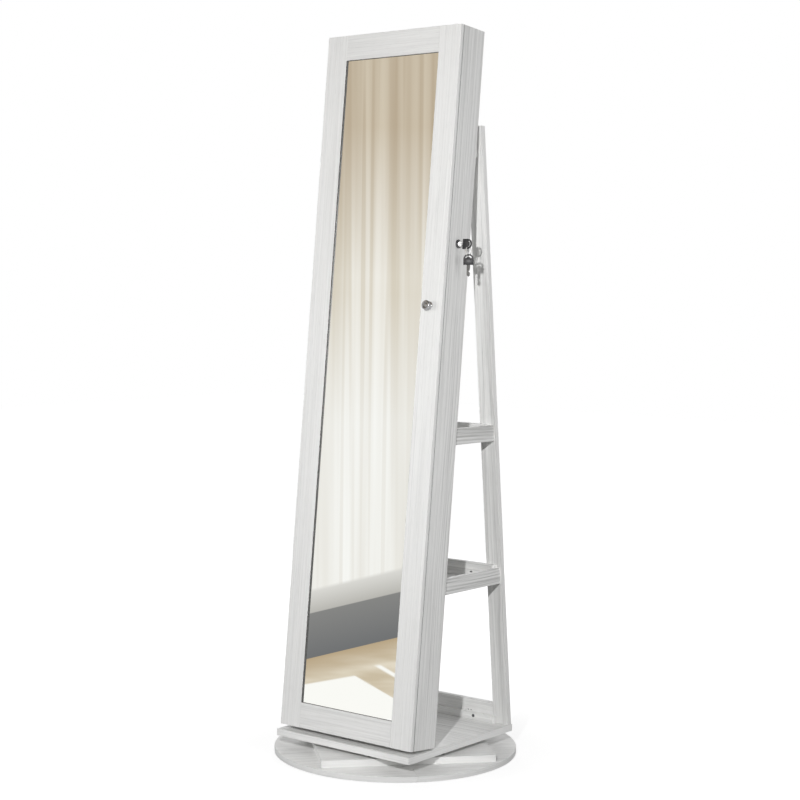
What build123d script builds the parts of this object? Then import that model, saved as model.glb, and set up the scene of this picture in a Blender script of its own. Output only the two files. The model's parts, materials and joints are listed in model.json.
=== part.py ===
from build123d import *
import os
from math import acos, atan2, cos, degrees, hypot, radians, sin, tan

os.makedirs("parts", exist_ok=True)

# A full-length mirror that is the door of a slim leaning cabinet. Rear uprights prop the cabinet
# up as an A-frame with two shelf trays, and the whole frame turns on a ball race over a round base.
# Millimetres, +Z up, the mirror faces -Y, and the origin is on the floor under the swivel's axis.

# ---------------------------------------------------------------- general
ease = 0.5                  # sharp board edges are broken by this much
overrun = 1.0               # how far a cut runs past the face that it opens
screw_clearance = 0.1       # round a screw's shank, on the radius
fit_clearance = 0.05        # running fit of a turning part, on the radius

# ---------------------------------------------------------------- base
disc_radius = 267.0
disc_thickness = 12.0
disc_bevel = 1.0
disc_joint = 0.4            # open joint between the two parts of the disc
joint_offset = 6.5          # of that joint beside the middle
pad_radius = 12.0
pad_thickness = 1.5
pad_circle_radius = 240.0
pad_count = 8
cross_length = 374.0
cross_offset = 3.5          # of the cross board beside the middle
cross_width = 356.0
cross_thickness = 15.0
base_turn = 47.6            # how far the base stands turned from the cabinet at rest
base_bolt_along = 78.0
base_bolt_across = 155.0
base_bolt_bite = 9.0        # how deep the bolts go into the discs

# ---------------------------------------------------------------- swivel
swivel_height = 8.0
race_height = 7.2
ball_radius = 3.0
ball_circle_radius = 120.0
ball_count = 12
ball_clearance = 0.1
race_gap = 3.0              # between the facing walls of the two races
inner_race_width = 18.0
outer_race_width = 18.0
cage_thickness = 1.6
cage_height = 7.6
race_screw_count = 4
race_screw_length = 16.0
race_screw_across = 0.6     # of a ring's width, away from the balls

# ---------------------------------------------------------------- platform
platform_side = 370.0
platform_thickness = 15.0

# ---------------------------------------------------------------- cabinet
cabinet_width = 366.0
cabinet_length = 1516.0     # measured up its own slope
cabinet_depth = 72.0        # the box behind the door
cabinet_lean = 5.65         # degrees from upright, leaning back
cabinet_setback = 8.9       # the door's foot behind the platform's front edge
cabinet_lift = 10.1         # the door's foot above the platform
panel_thickness = 12.0
back_thickness = 5.0
wedge_front = 40.0          # set-back of the plinth wedge from the door's face
wedge_inset = 22.0          # set-back of the plinth wedge from the cabinet's sides
foot_screw_spread = 110.0

# ---------------------------------------------------------------- cabinet's inside
shelf_thickness = 9.0
shelf_setback = 5.0
dado_depth = 3.0
first_shelf_level = 200.0   # tops of the shelves, up the slope
second_shelf_level = 380.0
third_shelf_level = 560.0
cushion_shelf_level = 760.0 # carries the ring cushion, with the bracelet bar under it
necklace_floor_level = 905.0    # the necklaces hang above it
earring_space = 174.0       # from the top shelf to the top panel
guard_height = 30.0         # of the rods in front of the lower shelves, above each floor
guard_radius = 2.0
guard_socket = 4.0
earring_thickness = 3.0
earring_setback = 30.0
earring_groove = 2.0
earring_slot_height = 3.0
earring_slot_margin = 18.0  # from a slot's end to the board's side
earring_rows = 4
hook_count = 11
hook_spacing = 27.0
hook_rail_height = 3.0
hook_rail_depth = 12.0
hook_setback = 26.0
hook_thickness = 2.4
hook_drop = 16.0
hook_curl = 6.0             # mean radius of the curl
hook_tip = 5.0
cushion_rolls = 5
cushion_setback = 4.0       # behind the shelf's front edge
cushion_base = 14.0
cushion_clearance = 0.3
bracelet_radius = 6.0
bracelet_below = 55.0       # under the cushion's shelf
socket_radius = 10.0
socket_depth = 9.0
socket_wall = 3.0

# ---------------------------------------------------------------- door
door_thickness = 9.0
door_seam = 1.2
stile_width = 56.0
rail_width = 55.0
lip_depth = 4.0             # face of the door down to the mirror
lip_overlap = 6.0           # of the frame over the mirror's edge
mirror_clearance = 0.5
mirror_thickness = 3.0
hinge_end = 150.0           # from the door's ends to the outer hinges' middles
hinge_length = 50.0
hinge_knuckles = 3
knuckle_gap = 0.2
strap_overlap = 0.4         # of a knuckle's strap into its leaf
knuckle_radius = 2.5
knuckle_offset = 1.0        # the pin's line outside the cabinet's side
hinge_pin_radius = 1.25
leaf_thickness = 1.0
leaf_gap = 0.2              # between the two closed leaves
door_leaf_width = 22.0
leaf_screw_radius = 1.5
leaf_screw_length = 7.0
leaf_screw_spread = 15.0    # from the hinge's middle
leaf_screw_across = 0.55    # of the leaf's width, from the knuckles
knob_height = 927.0         # up the slope
knob_radius = 10.5
knob_reach = 15.0
knob_inset = 33.0           # from the door's edge
knob_screw_radius = 2.0
knob_screw_bite = 9.0       # into the knob
knob_profile = (            # shares of the knob's radius and of its reach, from foot to face
    (0.6, 0), (0.6, 0.1), (0.45, 0.2), (0.45, 0.42), (0.85, 0.52), (1, 0.6), (1, 0.78),
    (0.9, 0.86), (0.68, 0.86), (0.62, 0.94), (0.3, 1), (0, 1),
)

# ---------------------------------------------------------------- lock and keys
lock_height = 1060.7        # up the slope
lock_depth = 41.2           # behind the door's face
lock_flange_radius = 9.3
lock_flange_thickness = 2.2
lock_flange_bevel = 0.77
lock_barrel_radius = 8.0
lock_barrel_inside = 6.0    # the barrel's length past the panel
lock_nut_radius = 11.5
lock_nut_thickness = 3.5
plug_radius = 6.0
plug_proud = 3.0
plug_tail = 5.0             # the square that drives the cam
plug_tail_length = 4.5
cam_thickness = 1.8
cam_stand_off = 1.7         # from the barrel's end
cam_hub_radius = 8.0
cam_width = 10.0
cam_reach = 28.5
cam_screw_bevel = 0.7
strike_radius = 24.0        # from the lock's axis to the strike's pin
strike_pin_radius = 1.5
strike_clearance = 0.4
strike_wall = 1.5
strike_ear_gap = 2.5        # between the cam and each ear
strike_plate_height = 30.0
strike_screw_spread = 10.8  # from the lock's height
strike_screw_stop = 3.0     # wood left in front of the screws' points
strike_screw_head = 2.7
strike_screw_head_height = 1.05
strike_ear_height = 10.0
key_blade_width = 7.0
key_blade_thickness = 1.8
key_blade_length = 24.5
key_blade_root = 7.0        # the part held in the bow
key_notches = (1.2, 1.5, 3.2, 1.4, 1.0)     # depths, from the tip
key_notch_start = 5.0       # from the tip to the first notch
key_notch_step = 3.2
keyway_clearance = 0.1
keyway_end = 3.0            # solid metal behind the keyway
bow_start = 10.0            # from the lock's flange to the bow
bow_length = 23.0
bow_width = 21.2
bow_thickness = 3.2
slot_inner = 4.6
slot_outer = 7.6
slot_half_angle = 60.0
key_ring_radius = 9.6
key_ring_wire = 0.7         # half the side of its square section
hang_clearance = 0.4
spare_turn = 30.0           # the spare key hangs turned this far

# ---------------------------------------------------------------- rear frame
upright_width = 40.0
upright_thickness = 12.0
upright_drop = 197.1        # the uprights' tops below the cabinet's rear top edge
head_gap = 11.7             # from the cabinet's back to the uprights' front at their tops
upright_setback = 0.5       # from the platform's rear edge
upright_screws = (0.3, 0.7) # across an upright's width, from its inner edge
lower_tray_level = 321.5    # undersides of the trays, above the platform
upper_tray_level = 638.0
tray_height = 34.5          # of the side rails
lower_back_height = 42.0    # of the back rails
upper_back_height = 37.0
tray_rail = 12.0
tray_inset = 4.0            # of the tray's sides from the cabinet's side
tray_floor = 3.0
tray_floor_rise = 6.0
tray_groove = 3.0
head_rail_height = 62.0
head_rail_inset = 14.0
head_rail_drop = 4.0
rear_rail_height = 44.5
batten_height = 16.0
batten_depth = 11.5
batten_length = 296.0
batten_screw_spread = 60.0
batten_screw_bite = 12.0
rail_screw_spread = 96.0
rail_screw_height = 9.5
rail_screw_length = 19.0    # through the batten into the rear rail
rail_hole_near = 73.0       # a pair of small holes in the rear rail, from the middle
rail_hole_step = 8.0
rail_hole_radius = 1.6
rail_hole_rise = 2.4        # above the batten
rail_hole_depth = 6.0
pilot_spread = 109.0
pilot_rise = 19.0           # above the tray's underside
pilot_radius = 3.4
pilot_depth = 8.0

# ---------------------------------------------------------------- screws
wood_screw_radius = 1.9
wood_screw_head = 3.6
wood_screw_head_height = 1.8
base_bolt_radius = 2.9
base_bolt_head = 5.0
base_bolt_head_height = 2.6
platform_screw_bite = 18.0
rear_screw_length = 20.0
tray_screw_length = 24.0
tray_screw_head = 3.1
tray_screw_low = 15.0       # above the tray's underside
tray_screw_high = 28.0

# ---------------------------------------------------------------- worked-out places
disc_top = pad_thickness + disc_thickness
cross_top = disc_top + cross_thickness
platform_bottom = cross_top + swivel_height
platform_top = platform_bottom + platform_thickness
race_middle = cross_top + swivel_height / 2
inner_race_wall = ball_circle_radius - race_gap / 2
outer_race_wall = ball_circle_radius + race_gap / 2

half_width = cabinet_width / 2
inner_half = half_width - panel_thickness
box_front = door_thickness + door_seam
box_back = box_front + cabinet_depth
inside_back = box_back - back_thickness
shelf_front = box_front + shelf_setback
foot_y = cabinet_setback - platform_side / 2
foot_z = platform_top + cabinet_lift
slope = Location((0, foot_y, foot_z), (-cabinet_lean, 0, 0))

top_shelf_level = cabinet_length - panel_thickness - earring_space
lower_levels = (first_shelf_level, second_shelf_level, third_shelf_level)
shelf_levels = lower_levels + (cushion_shelf_level, necklace_floor_level, top_shelf_level)
guard_levels = (panel_thickness,) + lower_levels
hinge_levels = (hinge_end, cabinet_length / 2, cabinet_length - hinge_end)

upright_inner = half_width - upright_width
tray_levels = (lower_tray_level, upper_tray_level)
tray_outer = half_width - tray_inset
tray_inner = tray_outer - tray_rail

barrel_end = inner_half - lock_barrel_inside
cam_outer = barrel_end - cam_stand_off
cam_inner = cam_outer - cam_thickness
key_shoulder = half_width + lock_flange_thickness + bow_start
bow_centre = bow_length - bow_width / 2
slot_middle = (slot_inner + slot_outer) / 2
slot_half = (slot_outer - slot_inner) / 2

# ---------------------------------------------------------------- helpers
def block(x, y, z):
    """A box between low and high values on each axis."""
    size = Box(x[1] - x[0], y[1] - y[0], z[1] - z[0], align=(Align.MIN, Align.MIN, Align.MIN))
    return Pos(x[0], y[0], z[0]) * size


def board(x, y, z, along):
    """A box whose edges along its grain are broken."""
    plain = block(x, y, z)
    return chamfer(plain.edges().filter_by(along), ease)


def prism(outline, low, high):
    """An outline of (y, z) points pulled along X."""
    face = Plane.YZ.offset(low) * Polygon(*outline, align=None)
    return extrude(face, high - low)


def rod(radius, start, length, axis):
    """A round bar from a start point along an axis name, in either direction."""
    turn = {"x": (0, 90, 0), "y": (-90, 0, 0), "z": (0, 0, 0)}[axis]
    bar = Cylinder(radius, abs(length), align=(Align.CENTER, Align.CENTER, Align.MIN))
    step = {"x": (1, 0, 0), "y": (0, 1, 0), "z": (0, 0, 1)}[axis]
    back = min(length, 0)
    origin = [start[i] + step[i] * back for i in range(3)]
    return Location(tuple(origin), turn) * bar


def turned(points):
    """A closed outline of (radius, z) points turned about Z."""
    face = Plane.XZ * Polygon(*points, align=None)
    return revolve(face, Axis.Z)


def screw(radius, length, head, head_height):
    """A screw with its head's seat at the origin, pointing along -Z."""
    shank = [(0, -length), (radius, -length), (radius, 0)]
    return turned(shank + [(head, 0), (head, head_height), (0, head_height)])


def shank_hole(radius, length):
    """The clearance hole of such a screw, open at its seat."""
    depth = length + screw_clearance
    return rod(radius + screw_clearance, (0, 0, screw_clearance), -depth - screw_clearance, "z")


def drilled(body, places, radius, length):
    """A board with a clearance hole for a screw at each place."""
    for place in places:
        body = body - place * shank_hole(radius, length)
    return body


def save(name, *solids):
    """Writes one named sub-part."""
    flat = []
    for solid in solids:
        flat.extend(solid.solids())
    export_step(Compound(flat), f"parts/{name}.step")


def cabinet_back_y(z):
    """Where the cabinet's rear face stands at a height above the floor."""
    lean = radians(cabinet_lean)
    return foot_y + (z - foot_z) * tan(lean) + box_back / cos(lean)


def upright_front_y(z):
    """Where the uprights' front faces stand at a height above the floor."""
    return upright_foot - (z - platform_top) * tan(radians(upright_lean))


# ---------------------------------------------------------------- the uprights' lean
# Their rear faces meet the platform at its rear edge, and their fronts pass the cabinet's back at
# the head's gap: run * cos(lean) - rise * sin(lean) is then their thickness.
cabinet_rear_top = (
    foot_z + cabinet_length * cos(radians(cabinet_lean)) - box_back * sin(radians(cabinet_lean))
)
upright_top = cabinet_rear_top - upright_drop
upright_rise = upright_top - platform_top
upright_run = platform_side / 2 - upright_setback - cabinet_back_y(upright_top) - head_gap
upright_lean = degrees(
    acos(upright_thickness / hypot(upright_run, upright_rise)) - atan2(upright_rise, upright_run)
)
upright_reach = upright_thickness / cos(radians(upright_lean))      # the thickness, cut level
upright_foot = platform_side / 2 - upright_setback - upright_reach
batten_back = upright_front_y(platform_top + batten_height)


# ---------------------------------------------------------------- base
def base():
    """A disc in two parts joined by a square board, on soft pads, stood turned from the cabinet."""
    turn = Rot(0, 0, base_turn)
    disc = rod(disc_radius, (0, 0, pad_thickness), disc_thickness, "z")
    disc = chamfer(disc.edges().group_by(Axis.Z)[-1], disc_bevel)
    reach = disc_radius + overrun
    bolt_length = cross_thickness + base_bolt_bite
    places = [
        Pos(sx * base_bolt_along, sy * base_bolt_across, cross_top) for sx in (-1, 1) for sy in (-1, 1)
    ]
    disc = drilled(disc, places, base_bolt_radius, bolt_length)
    near = joint_offset - disc_joint / 2
    far = joint_offset + disc_joint / 2
    for name, low, high in (("left", -reach, near), ("right", far, reach)):
        half = disc & block((low, high), (-reach, reach), (0, cross_top))
        save(f"base_disc_{name}", turn * half)

    pads = [rod(pad_radius, (0, 0, 0), pad_thickness, "z")]
    for place in PolarLocations(pad_circle_radius, pad_count, start_angle=180 / pad_count):
        pads.append(place * rod(pad_radius, (0, 0, 0), pad_thickness, "z"))
    save("base_pads", *[turn * pad for pad in pads])

    along = (cross_offset - cross_length / 2, cross_offset + cross_length / 2)
    cross = board(along, (-cross_width / 2, cross_width / 2), (disc_top, cross_top), Axis.X)
    cross = drilled(cross, places, base_bolt_radius, bolt_length)
    cross = drilled(cross, lower_race_screws(), wood_screw_radius, race_screw_length)
    save("cross_board", turn * cross)
    bolt = screw(base_bolt_radius, bolt_length, base_bolt_head, base_bolt_head_height)
    fastener = screw(wood_screw_radius, race_screw_length, wood_screw_head, wood_screw_head_height)
    bolts = [turn * place * bolt for place in places]
    race_screws = [turn * place * fastener for place in lower_race_screws()]
    save("base_screws", *bolts, *race_screws)


# ---------------------------------------------------------------- swivel
def lower_race_screws():
    """Seats of the screws that hold the inner race, sunk in its top, in the base's own frame."""
    circle = inner_race_wall - inner_race_width * race_screw_across
    seat = cross_top + race_height - wood_screw_head_height - screw_clearance
    return [Pos(0, 0, seat) * place for place in PolarLocations(circle, race_screw_count)]


def upper_race_screws():
    """Seats of the screws that hold the outer race, sunk in its underside."""
    circle = outer_race_wall + outer_race_width * race_screw_across
    seat = platform_bottom - race_height + wood_screw_head_height + screw_clearance
    places = PolarLocations(circle, race_screw_count)
    return [Pos(0, 0, seat) * place * Rot(180, 0, 0) for place in places]


def race(wall, rim, low, high, places):
    """One ring of the ball race, with its V groove and its sunk screw holes."""
    deep = (ball_radius + ball_clearance) / sin(radians(45)) - race_gap / 2
    bottom = wall + deep if rim > wall else wall - deep
    groove = [(wall, race_middle - deep), (bottom, race_middle), (wall, race_middle + deep)]
    ring = turned([(rim, low), (wall, low)] + groove + [(wall, high), (rim, high)])
    sink = rod(wood_screw_head + screw_clearance, (0, 0, 0), race_height, "z")
    for place in places:
        ring = ring - place * sink
    return drilled(ring, places, wood_screw_radius, race_screw_length)


def swivel():
    """A flat ball race: inner ring on the base, outer ring under the platform, caged balls between."""
    turn = Rot(0, 0, base_turn)
    lower = lower_race_screws()
    upper = upper_race_screws()
    core = inner_race_wall - inner_race_width
    rim = outer_race_wall + outer_race_width
    inner = race(inner_race_wall, core, cross_top, cross_top + race_height, lower)
    outer = race(outer_race_wall, rim, platform_bottom - race_height, platform_bottom, upper)
    save("swivel_inner_race", turn * inner)
    save("swivel_outer_race", outer)

    around = PolarLocations(ball_circle_radius, ball_count)
    ball_places = [Pos(0, 0, race_middle) * place for place in around]
    save("swivel_balls", *[place * Sphere(ball_radius) for place in ball_places])
    low = race_middle - cage_height / 2
    high = race_middle + cage_height / 2
    near = ball_circle_radius - cage_thickness / 2
    far = ball_circle_radius + cage_thickness / 2
    cage = turned([(near, low), (far, low), (far, high), (near, high)])
    room = 2 * (ball_radius + ball_clearance)
    for place in ball_places:
        cage = cage - place * Box(room, room, room)
    save("swivel_cage", cage)


# ---------------------------------------------------------------- platform
def foot_screws():
    """Seats under the platform of the screws that go up into the cabinet's foot."""
    middle = foot_y + (wedge_front + box_back) / 2
    return [Pos(sx * foot_screw_spread, middle, platform_bottom) * Rot(180, 0, 0) for sx in (-1, 1)]


def upright_foot_screws():
    """Seats under the platform of the screws that go up into the uprights."""
    middle = upright_front_y(platform_top + platform_screw_bite / 2) + upright_reach / 2
    places = []
    for side in (-1, 1):
        for across in upright_screws:
            places.append(Pos(side * (upright_inner + upright_width * across), middle, platform_bottom))
    return [place * Rot(180, 0, 0) for place in places]


def batten_foot_screws():
    """Seats under the platform of the shorter screws that go up into the batten."""
    middle = batten_back - batten_depth / 2
    places = [Pos(sx * batten_screw_spread, middle, platform_bottom) for sx in (-1, 1)]
    return [place * Rot(180, 0, 0) for place in places]


def platform():
    """The square board that turns, with the wedge that carries the leaning cabinet."""
    half = platform_side / 2
    length = platform_thickness + platform_screw_bite
    short = platform_thickness + batten_screw_bite
    top = board((-half, half), (-half, half), (platform_bottom, platform_top), Axis.X)
    top = drilled(top, foot_screws() + upright_foot_screws(), wood_screw_radius, length)
    top = drilled(top, batten_foot_screws(), wood_screw_radius, short)
    top = drilled(top, upper_race_screws(), wood_screw_radius, race_screw_length)
    save("platform", top)

    lean = radians(cabinet_lean)
    corners = []
    for depth in (wedge_front, box_back):
        corners.append((foot_y + depth * cos(lean), foot_z - depth * sin(lean)))
    outline = [(corners[0][0], platform_top), (corners[1][0], platform_top), corners[1], corners[0]]
    wedge = prism(outline, wedge_inset - half_width, half_width - wedge_inset)
    wedge = drilled(wedge, foot_screws(), wood_screw_radius, length)
    save("plinth_wedge", wedge)
    screws = []
    for places, long in (
        (foot_screws() + upright_foot_screws(), length),
        (batten_foot_screws(), short),
        (upper_race_screws(), race_screw_length),
    ):
        fastener = screw(wood_screw_radius, long, wood_screw_head, wood_screw_head_height)
        screws.extend([place * fastener for place in places])
    save("platform_screws", *screws)


# ---------------------------------------------------------------- cabinet
def tray_screw_places():
    """Seats inside the cabinet's back of the screws that hold the tray sides, on the slope."""
    lean = radians(cabinet_lean)
    places = []
    for level in tray_levels:
        for rise in (tray_screw_low, tray_screw_high):
            height = platform_top + level + rise
            up_slope = (height - foot_z) / cos(lean) + box_back * tan(lean)
            for side in (-1, 1):
                x = side * (inner_half - tray_screw_head - screw_clearance)
                places.append(Pos(x, inside_back, up_slope) * Rot(90, 0, 0))
    return places


def side_panel(side):
    """One side of the box, grooved for the shelves; the left carries hinges, the right the lock."""
    near, far = sorted((side * inner_half, side * half_width))
    panel = board((near, far), (box_front, box_back), (0, cabinet_length), Axis.Z)
    near, far = sorted((side * inner_half, side * (inner_half + dado_depth)))
    for level in shelf_levels:
        panel = panel - block((near, far), (shelf_front, inside_back), (level - shelf_thickness, level))
    for level in guard_levels:
        start = (side * inner_half, shelf_front, level + guard_height)
        panel = panel - rod(guard_radius + screw_clearance, start, side * guard_socket, "x")
    if side > 0:
        through = (inner_half, lock_depth, lock_height)
        panel = panel - rod(lock_barrel_radius + screw_clearance, through, panel_thickness, "x")
        return panel
    for level in hinge_levels:
        panel = panel - hinge_mortise(level, -1)
    for place in leaf_screw_places(-1):
        panel = panel - place * flush_hole()
    return panel


def cabinet():
    """The closed box behind the door."""
    save("side_panel_left", slope * side_panel(-1))
    save("side_panel_right", slope * side_panel(1))
    across = (-inner_half, inner_half)
    foot = board(across, (box_front, inside_back), (0, panel_thickness), Axis.X)
    foot = slope * foot
    foot = drilled(foot, foot_screws(), wood_screw_radius, platform_thickness + platform_screw_bite)
    save("bottom_panel", foot)
    crown_low = cabinet_length - panel_thickness
    crown = board(across, (box_front, inside_back), (crown_low, cabinet_length), Axis.X)
    crown = crown - earring_channel(crown_low, crown_low + earring_groove)
    save("top_panel", slope * crown)
    rear = board(across, (inside_back, box_back), (0, cabinet_length), Axis.Z)
    rear = drilled(rear, tray_screw_places(), wood_screw_radius, tray_screw_length)
    save("back_panel", slope * rear)


def earring_channel(low, high):
    """The groove that an edge of the earring board stands in."""
    depth = shelf_front + earring_setback
    return block((-inner_half, inner_half), (depth, depth + earring_thickness), (low, high))


def shelves():
    """Boards let into the sides, and the rods that keep things on the lower ones."""
    reach = inner_half + dado_depth
    boards = []
    for level in shelf_levels:
        flat = block((-reach, reach), (shelf_front, inside_back), (level - shelf_thickness, level))
        if level == top_shelf_level:
            flat = flat - earring_channel(level - earring_groove, level)
        boards.append(slope * flat)
    save("shelves", *boards)

    rods = []
    reach = inner_half + guard_socket - screw_clearance
    for level in guard_levels:
        bar = rod(guard_radius, (-reach, shelf_front, level + guard_height), 2 * reach, "x")
        rods.append(slope * bar)
    save("guard_rods", *rods)


def earring_board():
    """A thin board with rows of long slots, stood in grooves in the top compartment."""
    low = top_shelf_level
    high = cabinet_length - panel_thickness
    depth = shelf_front + earring_setback
    across = (-inner_half, inner_half)
    sheet = block(across, (depth, depth + earring_thickness), (low - earring_groove, high + earring_groove))
    row_step = (high - low) / (earring_rows + 1)
    reach = inner_half - earring_slot_margin
    for row in range(earring_rows):
        z = low + (row + 1) * row_step
        slot_tall = (z - earring_slot_height / 2, z + earring_slot_height / 2)
        sheet = sheet - block((-reach, reach), (depth, depth + earring_thickness), slot_tall)
    save("earring_board", slope * sheet)


def necklace_hooks():
    """A moulded rail under the top shelf with a row of J hooks, their tips turned up to the front."""
    under = top_shelf_level - shelf_thickness
    reach = (hook_count - 1) * hook_spacing / 2 + hook_rail_depth / 2
    depth = shelf_front + hook_setback
    rail = block((-reach, reach), (depth, depth + hook_rail_depth), (under - hook_rail_height, under))
    stem = depth + hook_rail_depth / 2
    middle = under - hook_rail_height - hook_drop
    lower_half = Pos(0, -hook_curl) * Rectangle(4 * hook_curl, 2 * hook_curl)
    curl = Circle(hook_curl + hook_thickness / 2) - Circle(hook_curl - hook_thickness / 2)
    drop = Pos(hook_curl, hook_drop / 2) * Rectangle(hook_thickness, hook_drop)
    tip = Pos(-hook_curl, hook_tip / 2) * Rectangle(hook_thickness, hook_tip)
    outline = Pos(stem - hook_curl, middle) * ((curl & lower_half) + drop + tip)
    for index in range(hook_count):
        x = (index - (hook_count - 1) / 2) * hook_spacing
        rail = rail + extrude(Plane.YZ.offset(x - hook_thickness / 2) * outline, hook_thickness)
    save("necklace_hooks", slope * rail)


def ring_cushion():
    """A block of soft rolls, front to back, that rings are pushed between."""
    floor = cushion_shelf_level + cushion_clearance
    front = shelf_front + cushion_setback
    back = inside_back - cushion_clearance
    roll = (back - front) / cushion_rolls / 2
    half = inner_half - cushion_clearance
    body = block((-half, half), (front, back), (floor, floor + cushion_base))
    for index in range(cushion_rolls):
        middle = front + roll * (2 * index + 1)
        body = body + rod(roll, (-half, middle, floor + cushion_base), 2 * half, "x")
    save("ring_cushion", slope * body)


def bracelet_bar():
    """A round bar across the cabinet in two cup sockets."""
    level = cushion_shelf_level - shelf_thickness - bracelet_below
    depth = (shelf_front + inside_back) / 2
    reach = inner_half - socket_wall
    save("bracelet_bar", slope * rod(bracelet_radius, (-reach, depth, level), 2 * reach, "x"))
    cups = []
    for side in (-1, 1):
        cup = rod(socket_radius, (side * inner_half, depth, level), -side * socket_depth, "x")
        seat = (side * reach, depth, level)
        cup = cup - rod(bracelet_radius + fit_clearance, seat, -side * socket_depth, "x")
        cups.append(slope * cup)
    save("bar_sockets", *cups)


# ---------------------------------------------------------------- door
def hinge_axis_place(level):
    """The middle of one hinge's pin, on the slope."""
    return (-half_width - knuckle_offset, door_thickness + door_seam / 2, level)


def hinge_mortise(level, side):
    """The shallow seat of a leaf and its knuckle's room: side is +1 in the door, -1 in the box."""
    x, y, z = hinge_axis_place(level)
    width = door_leaf_width if side > 0 else panel_thickness - ease
    long = (z - hinge_length / 2 - knuckle_gap, z + hinge_length / 2 + knuckle_gap)
    near = leaf_gap / 2
    far = near + leaf_thickness
    depths = sorted((y - side * near, y - side * far))
    seat = block((x, -half_width + width), depths, long)
    room = rod(knuckle_radius + knuckle_gap, (x, y, long[0]), long[1] - long[0], "z")
    return seat + room


def hinge_leaf(level, side):
    """A leaf with its share of the knuckles round the pin's bore."""
    x, y, z = hinge_axis_place(level)
    width = door_leaf_width if side > 0 else panel_thickness - ease
    near = leaf_gap / 2
    far = near + leaf_thickness
    depths = sorted((y - side * near, y - side * far))
    low = z - hinge_length / 2
    plate = block((x, -half_width + width - knuckle_gap), depths, (low, low + hinge_length))
    room = rod(knuckle_radius + knuckle_gap, (x, y, low - overrun), hinge_length + 2 * overrun, "z")
    plate = plate - room
    step = hinge_length / hinge_knuckles
    first = 1 if side > 0 else 0
    for index in range(first, hinge_knuckles, 2):
        start = low + index * step + knuckle_gap / 2
        barrel = rod(knuckle_radius, (x, y, start), step - knuckle_gap, "z")
        strap_end = x + knuckle_radius + strap_overlap
        strap = block((x, strap_end), depths, (start, start + step - knuckle_gap))
        plate = plate + barrel + strap
    bore = rod(hinge_pin_radius + fit_clearance, (x, y, low - overrun), hinge_length + 2 * overrun, "z")
    plate = plate - bore
    return plate


def leaf_screw_places(side):
    """Seats of the leaf screws, on the slope: their heads lie flush in the leaves."""
    y = door_thickness + door_seam / 2 - side * leaf_gap / 2
    x = -half_width + (door_leaf_width if side > 0 else panel_thickness) * leaf_screw_across
    turn = Rot(-90, 0, 0) if side > 0 else Rot(90, 0, 0)
    places = []
    for level in hinge_levels:
        for step in (-leaf_screw_spread, leaf_screw_spread):
            places.append(Pos(x, y, level + step) * turn)
    return places


def flush_screw():
    """A small countersunk screw, its head level with the leaf, pointing along -Z."""
    head = leaf_screw_radius + leaf_thickness
    return turned(
        [
            (0, 0),
            (head, 0),
            (leaf_screw_radius, -leaf_thickness),
            (leaf_screw_radius, -leaf_screw_length),
            (0, -leaf_screw_length),
        ]
    )


def flush_hole():
    """The countersunk clearance hole of such a screw."""
    head = leaf_screw_radius + leaf_thickness + screw_clearance
    shank = leaf_screw_radius + screw_clearance
    deep = leaf_screw_length + screw_clearance
    return turned([(0, 0), (head, 0), (shank, -leaf_thickness), (shank, -deep), (0, -deep)])


def hinges():
    """Three butt hinges let into the door's back and the left panel's edge."""
    for name, side in (("cabinet", -1), ("door", 1)):
        pieces = []
        for level in hinge_levels:
            pieces.append(hinge_leaf(level, side))
        drilled_leaves = []
        for leaf in pieces:
            for place in leaf_screw_places(side):
                leaf = leaf - place * flush_hole()
            drilled_leaves.append(slope * leaf)
        save(f"hinge_leaves_{name}", *drilled_leaves)
    save("hinge_screws", *[slope * place * flush_screw() for place in leaf_screw_places(-1)])
    pins = []
    for level in hinge_levels:
        x, y, z = hinge_axis_place(level)
        pins.append(slope * rod(hinge_pin_radius, (x, y, z - hinge_length / 2), hinge_length, "z"))
    save("hinge_pins", *pins)


def mirror_pocket():
    """The rebate behind the frame's lip that the mirror and its backing lie in."""
    half = half_width - stile_width + lip_overlap
    low = rail_width - lip_overlap
    return block((-half, half), (lip_depth, door_thickness), (low, cabinet_length - low))


def knob_place():
    """The knob's seat on the right stile, pointing out of the door's face."""
    return Pos(half_width - knob_inset, 0, knob_height) * Rot(90, 0, 0)


def strike_screw_places():
    """Seats of the strike's screws on its plate, on the slope."""
    x = (cam_inner + cam_outer) / 2
    places = []
    for step in (-strike_screw_spread, strike_screw_spread):
        places.append(Pos(x, door_thickness + strike_wall, lock_height + step) * Rot(-90, 0, 0))
    return places


def strike_screw_length():
    """Short enough to stop inside the door's frame."""
    return door_thickness + strike_wall - strike_screw_stop


def door():
    """The mirror's frame: two full-height stiles with the rails between them."""
    for name, side in (("left", -1), ("right", 1)):
        near, far = sorted((side * (half_width - stile_width), side * half_width))
        stile = board((near, far), (0, door_thickness), (0, cabinet_length), Axis.Z)
        stile = stile - mirror_pocket()
        if side < 0:
            for level in hinge_levels:
                stile = stile - hinge_mortise(level, 1)
            for place in leaf_screw_places(1):
                stile = stile - place * flush_hole()
        else:
            stile = stile - knob_place() * rod(
                knob_screw_radius + screw_clearance, (0, 0, 0), -door_thickness, "z"
            )
            stile = drilled(stile, strike_screw_places(), leaf_screw_radius, strike_screw_length())
        save(f"door_stile_{name}", slope * stile)
    half = half_width - stile_width
    for name, low in (("bottom", 0), ("top", cabinet_length - rail_width)):
        rail = board((-half, half), (0, door_thickness), (low, low + rail_width), Axis.X)
        save(f"door_rail_{name}", slope * (rail - mirror_pocket()))

    half = half_width - stile_width + lip_overlap - mirror_clearance
    low = rail_width - lip_overlap + mirror_clearance
    tall = (low, cabinet_length - low)
    glass_back = lip_depth + mirror_thickness
    save("mirror_glass", slope * block((-half, half), (lip_depth, glass_back), tall))
    save("mirror_backing", slope * block((-half, half), (glass_back, door_thickness), tall))


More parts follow.
